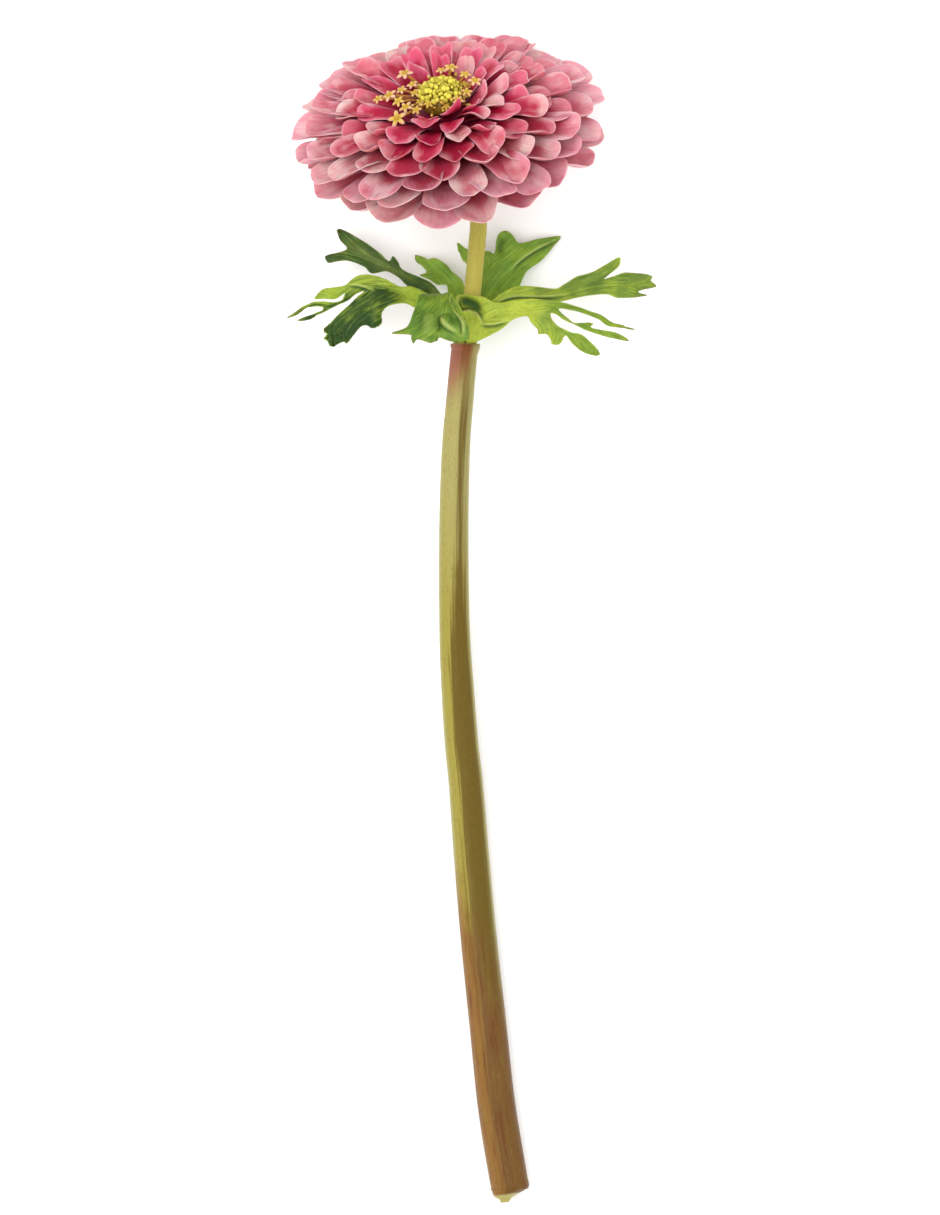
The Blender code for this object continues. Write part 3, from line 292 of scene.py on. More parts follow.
def stem_material():
    """Olive, mauve under the leaves and brown at the cut end, with a darker line; painted light on
    its left and edges, painted shade on its right.
    """
    shader = Shader("zinnia stem", 0.38, subsurface=0.12, subsurface_scale=2, gloss=0.12)
    run, side, top, cut = shader.values("run", "side", "top", "cut")
    fibres = shader.noise(1.3, 4, (side * 5, run * 0.02, top * 5))
    place = side + fibres.between(0.3, 0.7, -0.16, 0.16)
    patchy = run + shader.noise(28, 3).between(0.3, 0.7, -12, 12)
    # painted light and shade: the pale base is partly the stem's own colour and partly painted
    # light on its left side, and the olive over the right half is painted shade
    shader.paint(STEM_PALE_AND_LIT)
    shader.paint(STEM_OLIVE, place.between(-0.3, 0.3))
    # paler towards the collar
    shader.paint(STEM_PALE_AND_EDGE_HIGHLIGHT, run.between(-5, 50, 0, 0.5))
    # painted shade: a darker line right of the middle along the top, standing for a dark
    # reflection
    shade_stripe_from = patchy.between(34, -22, 0, -0.6)
    shade_stripe_to = patchy.between(34, -22, 0.4, 0.75)
    shade_stripe = place.between(shade_stripe_from, shade_stripe_from + 0.4)
    shade_stripe = shade_stripe * place.between(shade_stripe_to + 0.35, shade_stripe_to)
    shade_stripe = shade_stripe * top.between(-0.5, 0.1, 0, 0.9)
    shader.paint(STEM_DARK_OLIVE_AND_SHADE, shade_stripe * run.between(84, 60, 0.3, 1))
    # painted highlight: both edges of the stem paler
    shader.paint(STEM_PALE_AND_EDGE_HIGHLIGHT, shader.math("ABSOLUTE", side).between(0.8, 0.97, 0, 0.75))
    # the neck's own pale yellow-green, made brighter as painted light against the head's shadow
    shader.paint(PEDUNCLE_GREEN_AND_LIGHT, run.between(COLLAR_Y - 0.5, COLLAR_Y + 2, 0, 0.8))
    # painted shade: the brown part darker to the right
    browns = shader.mix(place.between(-0.65, -0.1), STEM_BROWN, STEM_SHADED_BROWN)
    reds = shader.noise(1.7, 4, (side * 2.6, run * 0.045, top * 2.6))
    browns = shader.mix(reds.between(0.48, 0.7, 0, 0.6), browns, STEM_RED)
    browns = shader.mix(reds.between(0.48, 0.2, 0, 0.3), browns, STEM_OLIVE)
    shader.paint(browns, (patchy + side * 12).between(-76, -108))
    mottle = shader.noise(1.6, 5, (side * 6, run * 0.4, top * 6))
    shader.paint(STEM_DARK_OLIVE_AND_SHADE, mottle.between(0.5, 0.75, 0, 0.35))
    shader.paint(STEM_OLIVE, mottle.between(0.48, 0.25, 0, 0.2))
    mauve = (run - side * 5).between(66, 83, 0, 0.95)
    mauve = mauve * run.between(COLLAR_Y + 0.2, COLLAR_Y - 0.8)
    mauve = mauve * side.between(0.75, 0.3, 0.15, 1)
    # painted shade: the mauve darker to the right
    shader.paint(shader.mix(place.between(-0.55, 0), STEM_MAUVE, STEM_SHADED_MAROON), mauve)
    shader.paint(STEM_CUT, cut)
    shader.bump(fibres + mottle * 0.5, 0.5, 0.4)
    return shader.finish(0.5, fibres.between(0.3, 0.7, 0.32, 0.46))


# Meshes


class Sheet:
    """Gathers closed pieces into one mesh, with named values at their points."""

    def __init__(self, *names):
        self.points, self.faces = [], []
        self.values = {name: [] for name in names}

    def add(self, points, faces, **values):
        start = sum(len(p) for p in self.points)
        self.points.append(points)
        self.faces += [tuple(int(i) + start for i in face) for face in faces]
        for name, kept in self.values.items():
            kept.append(np.broadcast_to(values.get(name, 0), len(points)))

    def add_blade(self, points, faces, thickness, **values):
        """Adds an open sheet, its copy below at a thickness, and the rim between them."""
        corners = points[faces]
        turns = np.cross(corners[:, 2] - corners[:, 0], corners[:, -1] - corners[:, 1])
        normals = np.zeros_like(points)
        for column in faces.T:
            np.add.at(normals, column, turns)
        below = points - unit(normals) * np.broadcast_to(thickness, len(points))[:, None]
        count = len(points)
        sides = {(int(a), int(b)) for face in faces
                 for a, b in zip(face, np.roll(face, -1))}
        rim = [(b, a, a + count, b + count) for a, b in sorted(sides) if (b, a) not in sides]
        closed = [tuple(f) for f in faces] + [tuple(f[::-1] + count) for f in faces] + rim
        doubled = {name: np.tile(np.broadcast_to(value, count), 2)
                   for name, value in values.items()}
        self.add(np.vstack((points, below)), closed, **doubled)

    def piece(self, node, material):
        """Makes the piece that stands for a node; nothing of it reaches below the floor."""
        name = node + "_look"
        points = np.vstack(self.points)
        points[:, 2] = np.maximum(points[:, 2], 0)
        mesh = bpy.data.meshes.new(name)
        mesh.from_pydata((points * MM).tolist(), [], self.faces)
        for key, kept in self.values.items():
            attribute = mesh.attributes.new(key, "FLOAT", "POINT")
            attribute.data.foreach_set("value", np.concatenate(kept).astype(np.float32))
        mesh.validate()
        mesh.shade_smooth()
        mesh.materials.append(material)
        obj = new_object(name, mesh)
        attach(obj, "root")
        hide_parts(node)


def grid_faces(rows, columns, closed=False):
    """Quads of a grid of points, row after row; closed joins each row into a ring."""
    faces = []
    for row in range(rows - 1):
        for column in range(columns if closed else columns - 1):
            after = (column + 1) % columns
            faces.append((row * columns + column, row * columns + after,
                          (row + 1) * columns + after, (row + 1) * columns + column))
    return np.array(faces)


def capped_faces(rows, sides):
    """Faces of a row of rings, with one face over each end."""
    last = (rows - 1) * sides
    ends = [tuple(range(sides))[::-1], tuple(range(last, last + sides))]
    return [tuple(f) for f in grid_faces(rows, sides, closed=True)] + ends


def curve_point(before, start, end, after, t):
    """A point at the share t of a smooth curve's span from start to end."""
    return 0.5 * (2 * start + (end - before) * t
                  + (2 * before - 5 * start + 4 * end - after) * t ** 2
                  + (3 * start - before - 3 * end + after) * t ** 3)


def smooth_path(knots, per_span):
    """Points of a smooth curve through the knots, each knot a tuple of numbers."""
    knots = [np.array(k, float) for k in knots]
    ends = [2 * knots[0] - knots[1], *knots, 2 * knots[-1] - knots[-2]]
    path = []
    for span in zip(ends, ends[1:], ends[2:], ends[3:]):
        path += [curve_point(*span, step / per_span) for step in range(per_span)]
    return np.array([*path, knots[-1]])


def tube(sheet, route, radii, sides, **values):
    """Adds a closed round tube along a route; values may be given for each ring."""
    along = unit(np.gradient(route, axis=0))
    side = unit(np.cross(along, (0, 0, 1)))
    up = np.cross(side, along)
    turn = np.arange(sides) / sides * math.tau
    rings = (side[:, None] * np.cos(turn)[:, None] + up[:, None] * np.sin(turn)[:, None])
    points = route[:, None] + rings * np.broadcast_to(radii, len(route))[:, None, None]
    spread = {name: np.repeat(np.broadcast_to(value, len(route)), sides)
              for name, value in values.items()}
    spread["side"] = np.tile(np.cos(turn), len(route))
    spread["top"] = np.tile(np.sin(turn), len(route))
    sheet.add(points.reshape(-1, 3), capped_faces(len(route), sides), **spread)


def head_point(right, far, height):
    """Points of the head, from their place across the rim and their height above it."""
    lean = HEAD_LEAN_AT_RIM + HEAD_LEAN_BELOW * np.minimum(height, 0)
    return (HEAD_CENTRE + np.multiply.outer(right + lean, HEAD_RIGHT)
            + np.multiply.outer(far, HEAD_FAR) + np.multiply.outer(height, HEAD_AXIS))


def polar_point(radius, angle, height, sideways=0):
    """Points of the head, from their place round its axis."""
    turn = np.radians(angle)
    return head_point(radius * np.cos(turn) - sideways * np.sin(turn),
                      radius * np.sin(turn) + sideways * np.cos(turn), height)


def turned(sheet, profile, sides, **values):
    """Adds a solid turned about the head's axis from radii and heights."""
    angles = np.arange(sides) * 360.0 / sides
    rings = [polar_point(radius, angles, np.full(sides, height)) for radius, height in profile]
    faces = [face[::-1] for face in capped_faces(len(profile), sides)]
    sheet.add(np.vstack(rings), faces, **values)


# Ray petals


class Layer(NamedTuple):
    """One ring of petals."""
    tip: tuple  # radius and height
    root: tuple
    lift: float  # how far the blade bows up between root and tip
    count: int
    width: float
    cup: float
    floor: float  # how high a blade pressed on the floor lies
    alternate: float = 1.4  # how far each second petal stands higher
    start: float = 0.0  # angle of the first petal
    missing: tuple = None  # angles between which there are no petals


LAYERS = [
    Layer((15, 13.6), (4.5, 5.4), 0.8, 11, 6.6, 0.6, 6, missing=(132, 246)),
    Layer((21.5, 12.2), (5, 4.2), 2.4, 13, 7.8, 0.7, 6, start=14, missing=(130, 244)),
    Layer((27, 9.5), (5.5, 2.2), 2.4, 16, 8.8, 0.8, 6),
    Layer((33.5, 7.5), (6, 0.2), 3.5, 18, 10.2, 0.9, 5.5, start=10),
    Layer((39.5, 5), (6, -2), 3.5, 18, 11.8, 1, 4.4),
    Layer((44.5, 2), (6.5, -4.2), 3.5, 18, 13.2, 1, 3.3, start=10),
    Layer((47, -1.5), (7, -6.6), 3, 18, 14.8, 0.9, 2.2),
    Layer((45, -6), (7, -9.2), 1.5, 19, 15, 0.8, 0, alternate=0.8, start=8.3),
]
FLOOR_STEP = 0.9
SHINGLE_SLOPE = 0.04
ANGLE_SPREAD, LENGTH_SPREAD, HEIGHT_SPREAD, WIDTH_SPREAD = 2, 0.05, 0.5, 0.14
WIDTH_PLACES = (0, 0.25, 0.5, 0.7, 0.85, 1)
WIDTH_SHARES = (0.26, 0.53, 0.80, 0.95, 1, 1)
TIP_SHAPE, TIP_POWER = 0.9, 2.4
PETAL_ROWS, PETAL_COLUMNS = 21, 17
PETAL_THICKNESS = 0.5
GROOVE, GROOVE_WIDTH, EDGE_CURL, SPOON, FRONT_DROOP = 0.4, 0.3, 3, 0.75, 1.8
NARROWEST_END, FLOOR_SOFTNESS = 0.05, 3
BORDER_WIDTH, THIN_WIDTH = 2.6, 1.5
RIM_FROM = 0.78
# ranges of what each petal draws: the slant and the notch of its tip, and the heights of
# its cup, of its bent end and of its waves; petals at the far side are calmer
SKEW, NOTCH, NOTCH_PLACE, NOTCH_WIDTH = (-0.5, 0.5), (-0.3, 0.7), (-0.3, 0.3), 0.22
CUPPED, TIP_BEND, WAVES, WAVED = (0.8, 2.8), (-1.4, 1.6), (2.5, 5), (0.15, 0.65)
FAR_CALM = 0.65
# how far petals turn on their length: at the rim, how much more near the disc, at most
TWIST, MORE_TWIST, MOST_TWIST = 5, 12, 40
# pale petals: their ring, counted from the disc, their angle, and how pale they are; the cream is
# partly their own colour and partly painted highlight
PALE_PETALS = [
    (6, 124, 2), (7, 124, 2), (7, 186, 1.2), (1, 350, 1.6), (2, 12, 1.2), (0, 305, 1.3),
    (2, 290, 1.3), (3, 300, 1.5), (4, 318, 1.3), (5, 292, 1.2), (4, 246, 1.2), (5, 226, 1.3),
    (3, 232, 1.1), (6, 262, 1.2), (7, 244, 1.3), (7, 30, 1.3), (6, 56, 1.2), (7, 76, 1.2),
]
PALE_REACH = 9
FRONT_DEEPER, BACK_PALER = 0.5, 0.6


def petal(sheet, layer, ring, width, angle, length, raised, floor, rng):
    """A petal with a broad round tip that is cupped, waved and turned on its length."""
    share = np.linspace(0, 1, PETAL_ROWS)[:, None]
    u = 1 - (1 - share) ** 1.6
    v = np.sin(np.linspace(-1, 1, PETAL_COLUMNS) * math.pi / 2)[None, :]
    (root_r, root_h), (tip_r, tip_h) = layer.root, layer.tip
    reach = tip_r - root_r
    half_width = width / 2
    tip_part = TIP_SHAPE * half_width / reach
    into_tip = np.clip((u - 1 + tip_part) / tip_part, 0, 1)
    end = np.maximum((1 - into_tip ** TIP_POWER) ** (1 / TIP_POWER), NARROWEST_END)
    half = half_width * np.interp(u, WIDTH_PLACES, WIDTH_SHARES) * end
    at_tip = smoothstep(0.5, 1, u)
    across = v * half / half_width
    skew = rng.uniform(*SKEW) * across * at_tip
    notch = rng.uniform(*NOTCH)
    notch = notch * np.exp(-((across - rng.uniform(*NOTCH_PLACE)) / NOTCH_WIDTH) ** 2)
    along = (u - (skew + notch * at_tip ** 3) / reach) * length
    turn = math.sin(math.radians(angle))
    far, near = max(turn, 0), max(-turn, 0)
    fuller = FAR_CORNERS_REACH * abs(math.sin(math.radians(2 * angle))) if far else 0
    radius = root_r + reach * along * (1 + fuller)
    height = root_h + (tip_h - root_h) * along + layer.lift * 4 * along * (1 - along)
    height += FAR_SIDE_RISE * far * along
    height += raised
    calm = 1 - FAR_CALM * min(2 * far, 1) * ring
    cup = layer.cup + rng.uniform(*CUPPED) * calm * at_tip
    height += cup * (across ** 2 + SPOON * (into_tip ** 2 - 0.5 * at_tip))
    height += SHINGLE_SLOPE * across * half_width
    height -= FRONT_DROOP * near * ring ** 3 * along ** 2
    height += rng.uniform(*TIP_BEND) * calm * smoothstep(0.7, 1, u) ** 2
    height -= GROOVE * np.exp(-(across / GROOVE_WIDTH) ** 2) * smoothstep(0.2, 0.6, u)
    curled = rng.choice((-1, 1)) * across
    curl = EDGE_CURL * rng.random() ** 2 * calm * (0.4 + 0.6 * ring)
    height += curl * smoothstep(0.4, 1, curled) * at_tip
    wave = np.sin(across * rng.uniform(*WAVES) + rng.uniform(0, math.tau))
    height += rng.uniform(*WAVED) * calm * wave * at_tip
    twist = rng.gauss(0, TWIST + MORE_TWIST * (1 - ring))
    twist = np.radians(calm * np.clip(twist, -MOST_TWIST, MOST_TWIST))
    height += v * half * np.sin(twist * at_tip)
    points = polar_point(radius, angle, height, v * half * np.cos(twist * at_tip))
    points[..., 2] = rest_on(points[..., 2], floor + PETAL_THICKNESS, FLOOR_SOFTNESS)
    inset = half_width * (1 - (np.abs(v * end) ** TIP_POWER + into_tip ** TIP_POWER)
                          ** (1 / TIP_POWER))
    rim = np.clip(1 - inset / BORDER_WIDTH, 0, 1)
    thin = PETAL_THICKNESS * (1 - 0.75 * np.clip(1 - inset / THIN_WIDTH, 0, 1))
    shape = points.shape[:2]
    pale = rng.random() ** 4
    number = round(ring * (len(LAYERS) - 1))
    for pale_ring, pale_angle, paleness in PALE_PETALS:
        if pale_ring == number and abs(angle - pale_angle) < PALE_REACH:
            pale = paleness
    deeper = FRONT_DEEPER * near * (1 - abs(2 * ring - 1))
    paler = BACK_PALER * far * ring
    sheet.add_blade(
        points.reshape(-1, 3), grid_faces(*shape), thin.ravel(), ring=ring,
        along=np.broadcast_to(u, shape).ravel(), across=across.ravel(),
        tint=rng.random() + paler - deeper, rim=rim.ravel(), pale=pale)


def ray_petals():
    placing = random.Random(SEED)
    widths = random.Random(SEED + 8)
    shaping = random.Random(SEED + 40)
    sheet = Sheet("ring", "along", "across", "tint", "rim", "pale")
    for number, layer in enumerate(LAYERS):
        step = 360.0 / layer.count
        for place in range(layer.count):
            angle = layer.start + step * place + placing.uniform(-1, 1) * ANGLE_SPREAD
            length = 1 + placing.uniform(-1, 0.6) * LENGTH_SPREAD
            raised = placing.uniform(-1, 1) * HEIGHT_SPREAD
            width = layer.width * (1 + widths.uniform(-1, 1) * WIDTH_SPREAD)
            odd = place % 2
            if layer.missing and layer.missing[0] < angle % 360 < layer.missing[1]:
                continue
            floor = layer.floor + FLOOR_STEP * odd if layer.floor else 0
            petal(sheet, layer, number / (len(LAYERS) - 1), width, angle, length,
                  raised + layer.alternate * odd, floor, shaping)
    turned(sheet, CORE_PROFILE, 28, ring=0.1, along=0.1, tint=0.3)
    sheet.piece("ray_petals", petal_material())


# Disc of florets

DISC_BASE = CORE_TOP + GAP
DISC_TOP = 17
DOME_PROFILE = ((0, DISC_BASE), (4.8, DISC_BASE), (6.1, 9.7), (6.4, 11.5), (5.9, 13.5),
                (4.5, 15.3), (2.6, 16.4), (0, 16.8))
BUD_COUNT, FINE_BUDS = 26, 110
BUD_SIZE, BUDS_REACH, DISC_DROP = 0.76, 6.5, 3.2
RING_STAR_COUNT = 10
# stars that stand out of the ring on stalks: angle, radius, height and size
OUTLYING_STARS = [
    (147, 14.6, 15.8, 2.9), (160, 9.8, 14.6, 2), (171, 12.6, 13.6, 2),
    (182, 15.8, 13.2, 2.6), (185, 19.2, 12.6, 1.9), (197, 13, 13, 2.2),
    (213, 11.6, 12.4, 2.4), (228, 16.9, 12.2, 3.2), (235, 10.4, 12.8, 1.8),
    (96, 8, 16.8, 1.8), (75, 8.6, 17.6, 2.4), (36, 8.8, 17, 2),
    (12, 10.8, 16.4, 2.3), (348, 8.8, 15, 2), (322, 8.2, 14, 2),
]
STAR_RADIUS, STAR_LOBES, STAR_THICKNESS, THROAT_RADII = 1.7, 5, 0.45, (0.42, 0.6)
STALK_RADIUS = 0.42
FILAMENTS, FILAMENT_RADIUS, ANTHER_SIZE = 40, 0.2, (0.32, 0.55)
# where the filaments start and end, as radii and heights
FILAMENT_ROOT, FILAMENT_REACH, FILAMENT_HEIGHT = (4.6, 10.8), (6.6, 9.8), (10.6, 15.4)
STALKS_FROM_RADIUS = 3.6
RING_RADIUS, RING_HEIGHT, RING_STEP = 6.9, 12.6, (0.8, 1.6)
FLORET_ROOT_HEIGHT = DISC_BASE + 3
GOLDEN_TURN = 137.508


def aimed(x, y, z, centre, facing):
    """Points given across and along a direction, as places round a centre."""
    aim = np.array(Vector(facing).to_track_quat("Z", "Y").to_matrix())
    return np.stack(np.broadcast_arrays(x, y, z), axis=-1).reshape(-1, 3) @ aim.T + centre


def ball(sheet, centre, facing, radii, rows=7, sides=9, **values):
    """Adds a small egg-shaped ball that points along facing."""
    polar = np.linspace(0.04, math.pi - 0.04, rows)[:, None]
    turn = (np.arange(sides) / sides * math.tau)[None, :]
    wide = radii[0] * np.sin(polar)
    points = aimed(wide * np.cos(turn), wide * np.sin(turn), -radii[1] * np.cos(polar),
                   centre, facing)
    values.setdefault("along", np.repeat((1 - np.cos(polar[:, 0])) / 2, sides))
    sheet.add(points, capped_faces(rows, sides), **values)


def star(sheet, centre, facing, radius, turn, pale, tint):
    """A five-lobed floret: rounded lobes that bend back, and a small throat."""
    rows, sides = 6, 40
    theta = (np.arange(sides) / sides * math.tau)[None, :]
    share = np.linspace(0.08, 1, rows)[:, None]
    waves = np.abs(np.cos(theta * STAR_LOBES / 2))
    lobe = 0.26 + 0.74 * waves ** 1.3
    reach = radius * share * (1 - (1 - lobe) * share)
    height = 0.5 * np.sin(share * math.pi * 0.8) - 0.45 * share ** 3 + 0.12
    height = height + 0.12 * waves * share
    points = aimed(reach * np.cos(theta + turn), reach * np.sin(theta + turn), height,
                   centre, facing)
    along = np.broadcast_to(share, (rows, sides)).ravel()
    faces = grid_faces(rows, sides, closed=True)[:, ::-1]
    sheet.add_blade(points, faces, STAR_THICKNESS, star=1, along=along, pale=pale, tint=tint)
    ball(sheet, centre + np.array(facing) * 0.25, facing, THROAT_RADII, star=1, tint=tint)


def star_on_stalk(sheet, angle, radius, height, size, turn, pale, tint):
    """A star on a curved stalk that thins and widens again under it."""
    root = polar_point(STALKS_FROM_RADIUS, angle, FLORET_ROOT_HEIGHT)
    centre = polar_point(radius, angle, height)
    facing = unit(HEAD_AXIS * 1.3 + np.array((0, 0, 0.5)) + unit(centre - root) * 0.6)
    middle = (root + centre) / 2 + HEAD_AXIS * 0.5
    route = smooth_path([root, middle, centre + facing * 0.1], 5)
    share = np.linspace(0, 1, len(route))
    radii = STALK_RADIUS * (1.25 - 0.5 * share + 0.5 * share ** 6)
    tube(sheet, route, radii, 8, stalk=1, along=share, tint=tint)
    star(sheet, centre, facing, size, turn, pale, tint)


def filament(sheet, angle, look):
    """A thin maroon thread round the dome, with a small golden anther."""
    root = polar_point(FILAMENT_ROOT[0], angle, FILAMENT_ROOT[1])
    tip = polar_point(look.uniform(*FILAMENT_REACH), angle + look.uniform(-12, 12),
                      look.uniform(*FILAMENT_HEIGHT))
    route = smooth_path([root, (root + tip) / 2 + HEAD_AXIS * look.uniform(-0.4, 1), tip], 4)
    tint, pale = look.random(), look.uniform(0, 0.7)
    share = np.linspace(0, 0.8, len(route))
    tube(sheet, route, FILAMENT_RADIUS, 6, stalk=1, along=share, tint=tint)
    size = look.uniform(*ANTHER_SIZE)
    ball(sheet, tip, tip - root, (size, size * 1.5), 6, 7, star=1, tint=tint, pale=pale)


def disc_florets():
    rng = random.Random(SEED + 1)
    look = random.Random(SEED + 41)
    sheet = Sheet("stalk", "star", "along", "tint", "pale")
    # the solids draw once for each of their larger buds before they draw for the stars
    for _ in range(BUD_COUNT):
        rng.uniform(-0.25, 0.25)
    for index in range(FINE_BUDS):
        spread = math.sqrt((index + 0.5) / FINE_BUDS)
        angle = index * GOLDEN_TURN
        height = DISC_TOP + 0.5 - DISC_DROP * spread ** 3 + look.uniform(-0.5, 0.5)
        centre = polar_point(BUDS_REACH * spread, angle + look.uniform(-4, 4), height - 0.6)
        facing = centre - polar_point(0, 0, DISC_BASE)
        size = BUD_SIZE * look.uniform(0.55, 1.25)
        ball(sheet, centre, facing, (size, size * 1.35), tint=look.random())
    for index in range(RING_STAR_COUNT):
        angle = 360 * (index + rng.uniform(-0.2, 0.2)) / RING_STAR_COUNT
        radius = RING_RADIUS + RING_STEP[0] * (index % 2)
        height = RING_HEIGHT + RING_STEP[1] * (index % 2)
        star_on_stalk(sheet, angle, radius, height, STAR_RADIUS, rng.uniform(0, 1.2),
                      look.uniform(0, 0.5), look.random())
    for angle, radius, height, size in OUTLYING_STARS:
        star_on_stalk(sheet, angle, radius, height, size, rng.uniform(0, 1.2),
                      look.uniform(0.3, 1), look.random())
    for index in range(FILAMENTS):
        filament(sheet, 360 * (index + look.uniform(-0.4, 0.4)) / FILAMENTS, look)
    turned(sheet, DOME_PROFILE, 32, tint=0.1)
    sheet.piece("disc_florets", floret_material())


# Green cup with its scales

CUP_TOP = CORE_BOTTOM - GAP
CUP_BOTTOM = -19.5
CUP_RADIUS, CUP_NECK_RADIUS = 9.2, 3.6
BRACT_THICKNESS = 0.7
LONG_BRACT = ((7, -14.4), (16, -12.6), (28, -10.4), (37, -9.2))
LONG_BRACT_WIDTH = 3.2
LONG_BRACT_ANGLES = (8, 165, 205, 256, 295, 335)
SHORT_BRACTS = (
    (((5, -16.6), (9.6, -15.2), (11.2, -13)), 9, 6, 0),
    (((4.2, -17.6), (7.8, -17.8), (10.4, -15.9)), 8, 4.8, 20),
)


def bract(sheet, angle, outline, width, tint):
    """A pointed scale whose middle line is given as radius and height."""
    path = smooth_path(outline, 6)
    share = np.linspace(0, 1, len(path))[:, None]
    v = np.linspace(-1, 1, 7)[None, :]
    half = width / 2 * (1 - 0.2 * share) * (1 - share ** 5) ** 0.7 + 0.1
    radius = path[:, :1] - 0.08 * half * v ** 2
    height = path[:, 1:] + 0.12 * half * v ** 2
    points = polar_point(radius, angle, height, v * half)
    edge = np.maximum(np.abs(v), share ** 4)
    sheet.add_blade(points.reshape(-1, 3), grid_faces(*points.shape[:2]), BRACT_THICKNESS,
                    edge=edge.ravel(), tint=tint)


def involucre():
    rng = random.Random(SEED + 2)
    look = random.Random(SEED + 42)
    sheet = Sheet("edge", "tint")
    for outline, count, width, start in SHORT_BRACTS:
        for place in range(count):
            angle = start + 360 * (place + rng.uniform(-0.08, 0.08)) / count
            bract(sheet, angle, outline, width * rng.uniform(0.93, 1.05), look.random())
    for angle in LONG_BRACT_ANGLES:
        bract(sheet, angle, LONG_BRACT, LONG_BRACT_WIDTH, look.random())
    profile = ((0, CUP_TOP), (CUP_RADIUS, CUP_TOP), (CUP_RADIUS * 0.96, -14.6),
               (CUP_RADIUS * 0.78, -17), (CUP_RADIUS * 0.5, -18.7),
               (CUP_NECK_RADIUS, CUP_BOTTOM), (0, CUP_BOTTOM))
    turned(sheet, profile[::-1], 32, tint=0.4)
    sheet.piece("involucre", bract_material())


# Stem

COLLAR_X, COLLAR_Y, COLLAR_HEIGHT = -1.9, 85.4, 18.8
PEDUNCLE_RADIUS, COLLAR_RADIUS, COLLAR_RING_RADIUS = 2.6, 4.1, 4.5
CUT_END_Y = -172.4
CUT_START_Y = -173.5
LYING_FROM_Y = -86
# middle of the stem as seen from above, from the neck down to the cut end
STEM_ROUTE = [
    (2.1, 122.3), (1.7, 116.2), (1, 108), (0, 98.5), (COLLAR_X, COLLAR_Y),
    (-3.7, 66.5), (-4.7, 54.3), (-5.3, 36), (-5.4, 15), (-5.1, -4), (-4.3, -19),
    (-3, -37.2), (-1.7, -49.4), (0.2, -73.8), (2.4, -98.2), (5, -122.6), (7.6, -147),
    (11, -168), (11.9, CUT_END_Y),
]
NECK_BEND = (0.9, 127.6, 19.4)
# stem radius at places along Y; the step at the collar is the ledge of the leaf ring
RADIUS_AT = [
    (-177.6, 1), (-176.9, 1.4), (-176, 1.9), (-175.2, 3.4), (-173.9, 5.1),
    (CUT_END_Y, 5.8), (-160, 5.85),
    (-120, 5.65), (-60, 5.35), (-20, 5), (0, 4.65), (40, 4.45),
    (80, COLLAR_RADIUS),
    (COLLAR_Y - 2, COLLAR_RADIUS), (COLLAR_Y - 1.5, COLLAR_RING_RADIUS),
    (COLLAR_Y - 0.2, COLLAR_RING_RADIUS), (COLLAR_Y, PEDUNCLE_RADIUS),
    (122, PEDUNCLE_RADIUS), (140, 3.2),
]
STEM_SIDES = 36
# how far the rings of the cut end stand to the side, and their slant
CUT_SHIFT = ((-177.6, -1.7), (-175.2, -1.5), (-173.9, -0.4), (CUT_END_Y, 0))
CUT_SLANT = 0.13
CUT_FACE_Y, END_STEP = -174.6, 0.4
RADIUS_PLACES, RADII = zip(*RADIUS_AT)


def stem_height(y):
    """Height of the stem's middle: it lies flat at the cut end and rises to the collar."""
    at = LYING_FROM_Y if y > LYING_FROM_Y else max(y, CUT_END_Y)
    lying = float(np.interp(at, RADIUS_PLACES, RADII)) - 0.05
    if y <= LYING_FROM_Y:
        return lying
    if y >= COLLAR_Y:
        return COLLAR_HEIGHT
    t = (y - LYING_FROM_Y) / (COLLAR_Y - LYING_FROM_Y)
    return lying + (COLLAR_HEIGHT - lying) * (0.35 * t + 0.65 * t * t * (3 - 2 * t))


def slanted(points):
    """The stem with its slanted cut, from a stem with a straight, square end."""
    places, shifts = zip(*CUT_SHIFT)
    aside = points[:, 0] - STEM_ROUTE[-1][0]
    slant = CUT_SLANT * smoothstep(CUT_START_Y + 0.6, CUT_START_Y - 0.4, points[:, 1])
    shift = np.where(points[:, 1] < CUT_END_Y, np.interp(points[:, 1], places, shifts), 0)
    return points + np.column_stack((shift, slant * aside, np.zeros(len(points))))


def stem():
    neck = head_point(0, 0, CUP_BOTTOM - GAP)
    knots = [tuple(neck - HEAD_AXIS * down) for down in (0, 1, 2.5)]
    knots += [NECK_BEND] + [(x, y, stem_height(y)) for x, y in STEM_ROUTE]
    route = list(smooth_path(knots, 12))
    ledge = [np.array((COLLAR_X, COLLAR_Y - down, COLLAR_HEIGHT)) for down in (0.2, 1.5, 2)]
    above = [p for p in route if p[1] >= COLLAR_Y - 0.01]
    below = [p for p in route if p[1] < COLLAR_Y - 2.3]
    ends = np.arange(CUT_END_Y - END_STEP, RADIUS_PLACES[0], -END_STEP)
    cut = [np.array((route[-1][0], y, route[-1][2])) for y in ends]
    route = np.array(above + ledge + below + cut)[::-1]
    run = route[:, 1]
    sheet = Sheet("run", "side", "top", "cut")
    tube(sheet, route, np.interp(run, RADIUS_PLACES, RADII), STEM_SIDES, run=run,
         cut=smoothstep(CUT_FACE_Y + 0.3, CUT_FACE_Y - 0.3, run))
    sheet.points[0] = slanted(sheet.points[0])
    sheet.piece("stem", stem_material())


# Leaves


class Leaf(NamedTuple):
    """One leaf, from its foot on the collar's ledge to its tip."""
    rib: list  # x, y, height over the collar's middle, and the blade's roll about the rib
    outline: list  # the edge as seen from above, from the foot round the tips and back
    fold: float = 0.14  # how steeply the blade rises beside the rib
    droop: float = 0
    unrolled: bool = False  # whether the outline is flat instead: across and along the rib


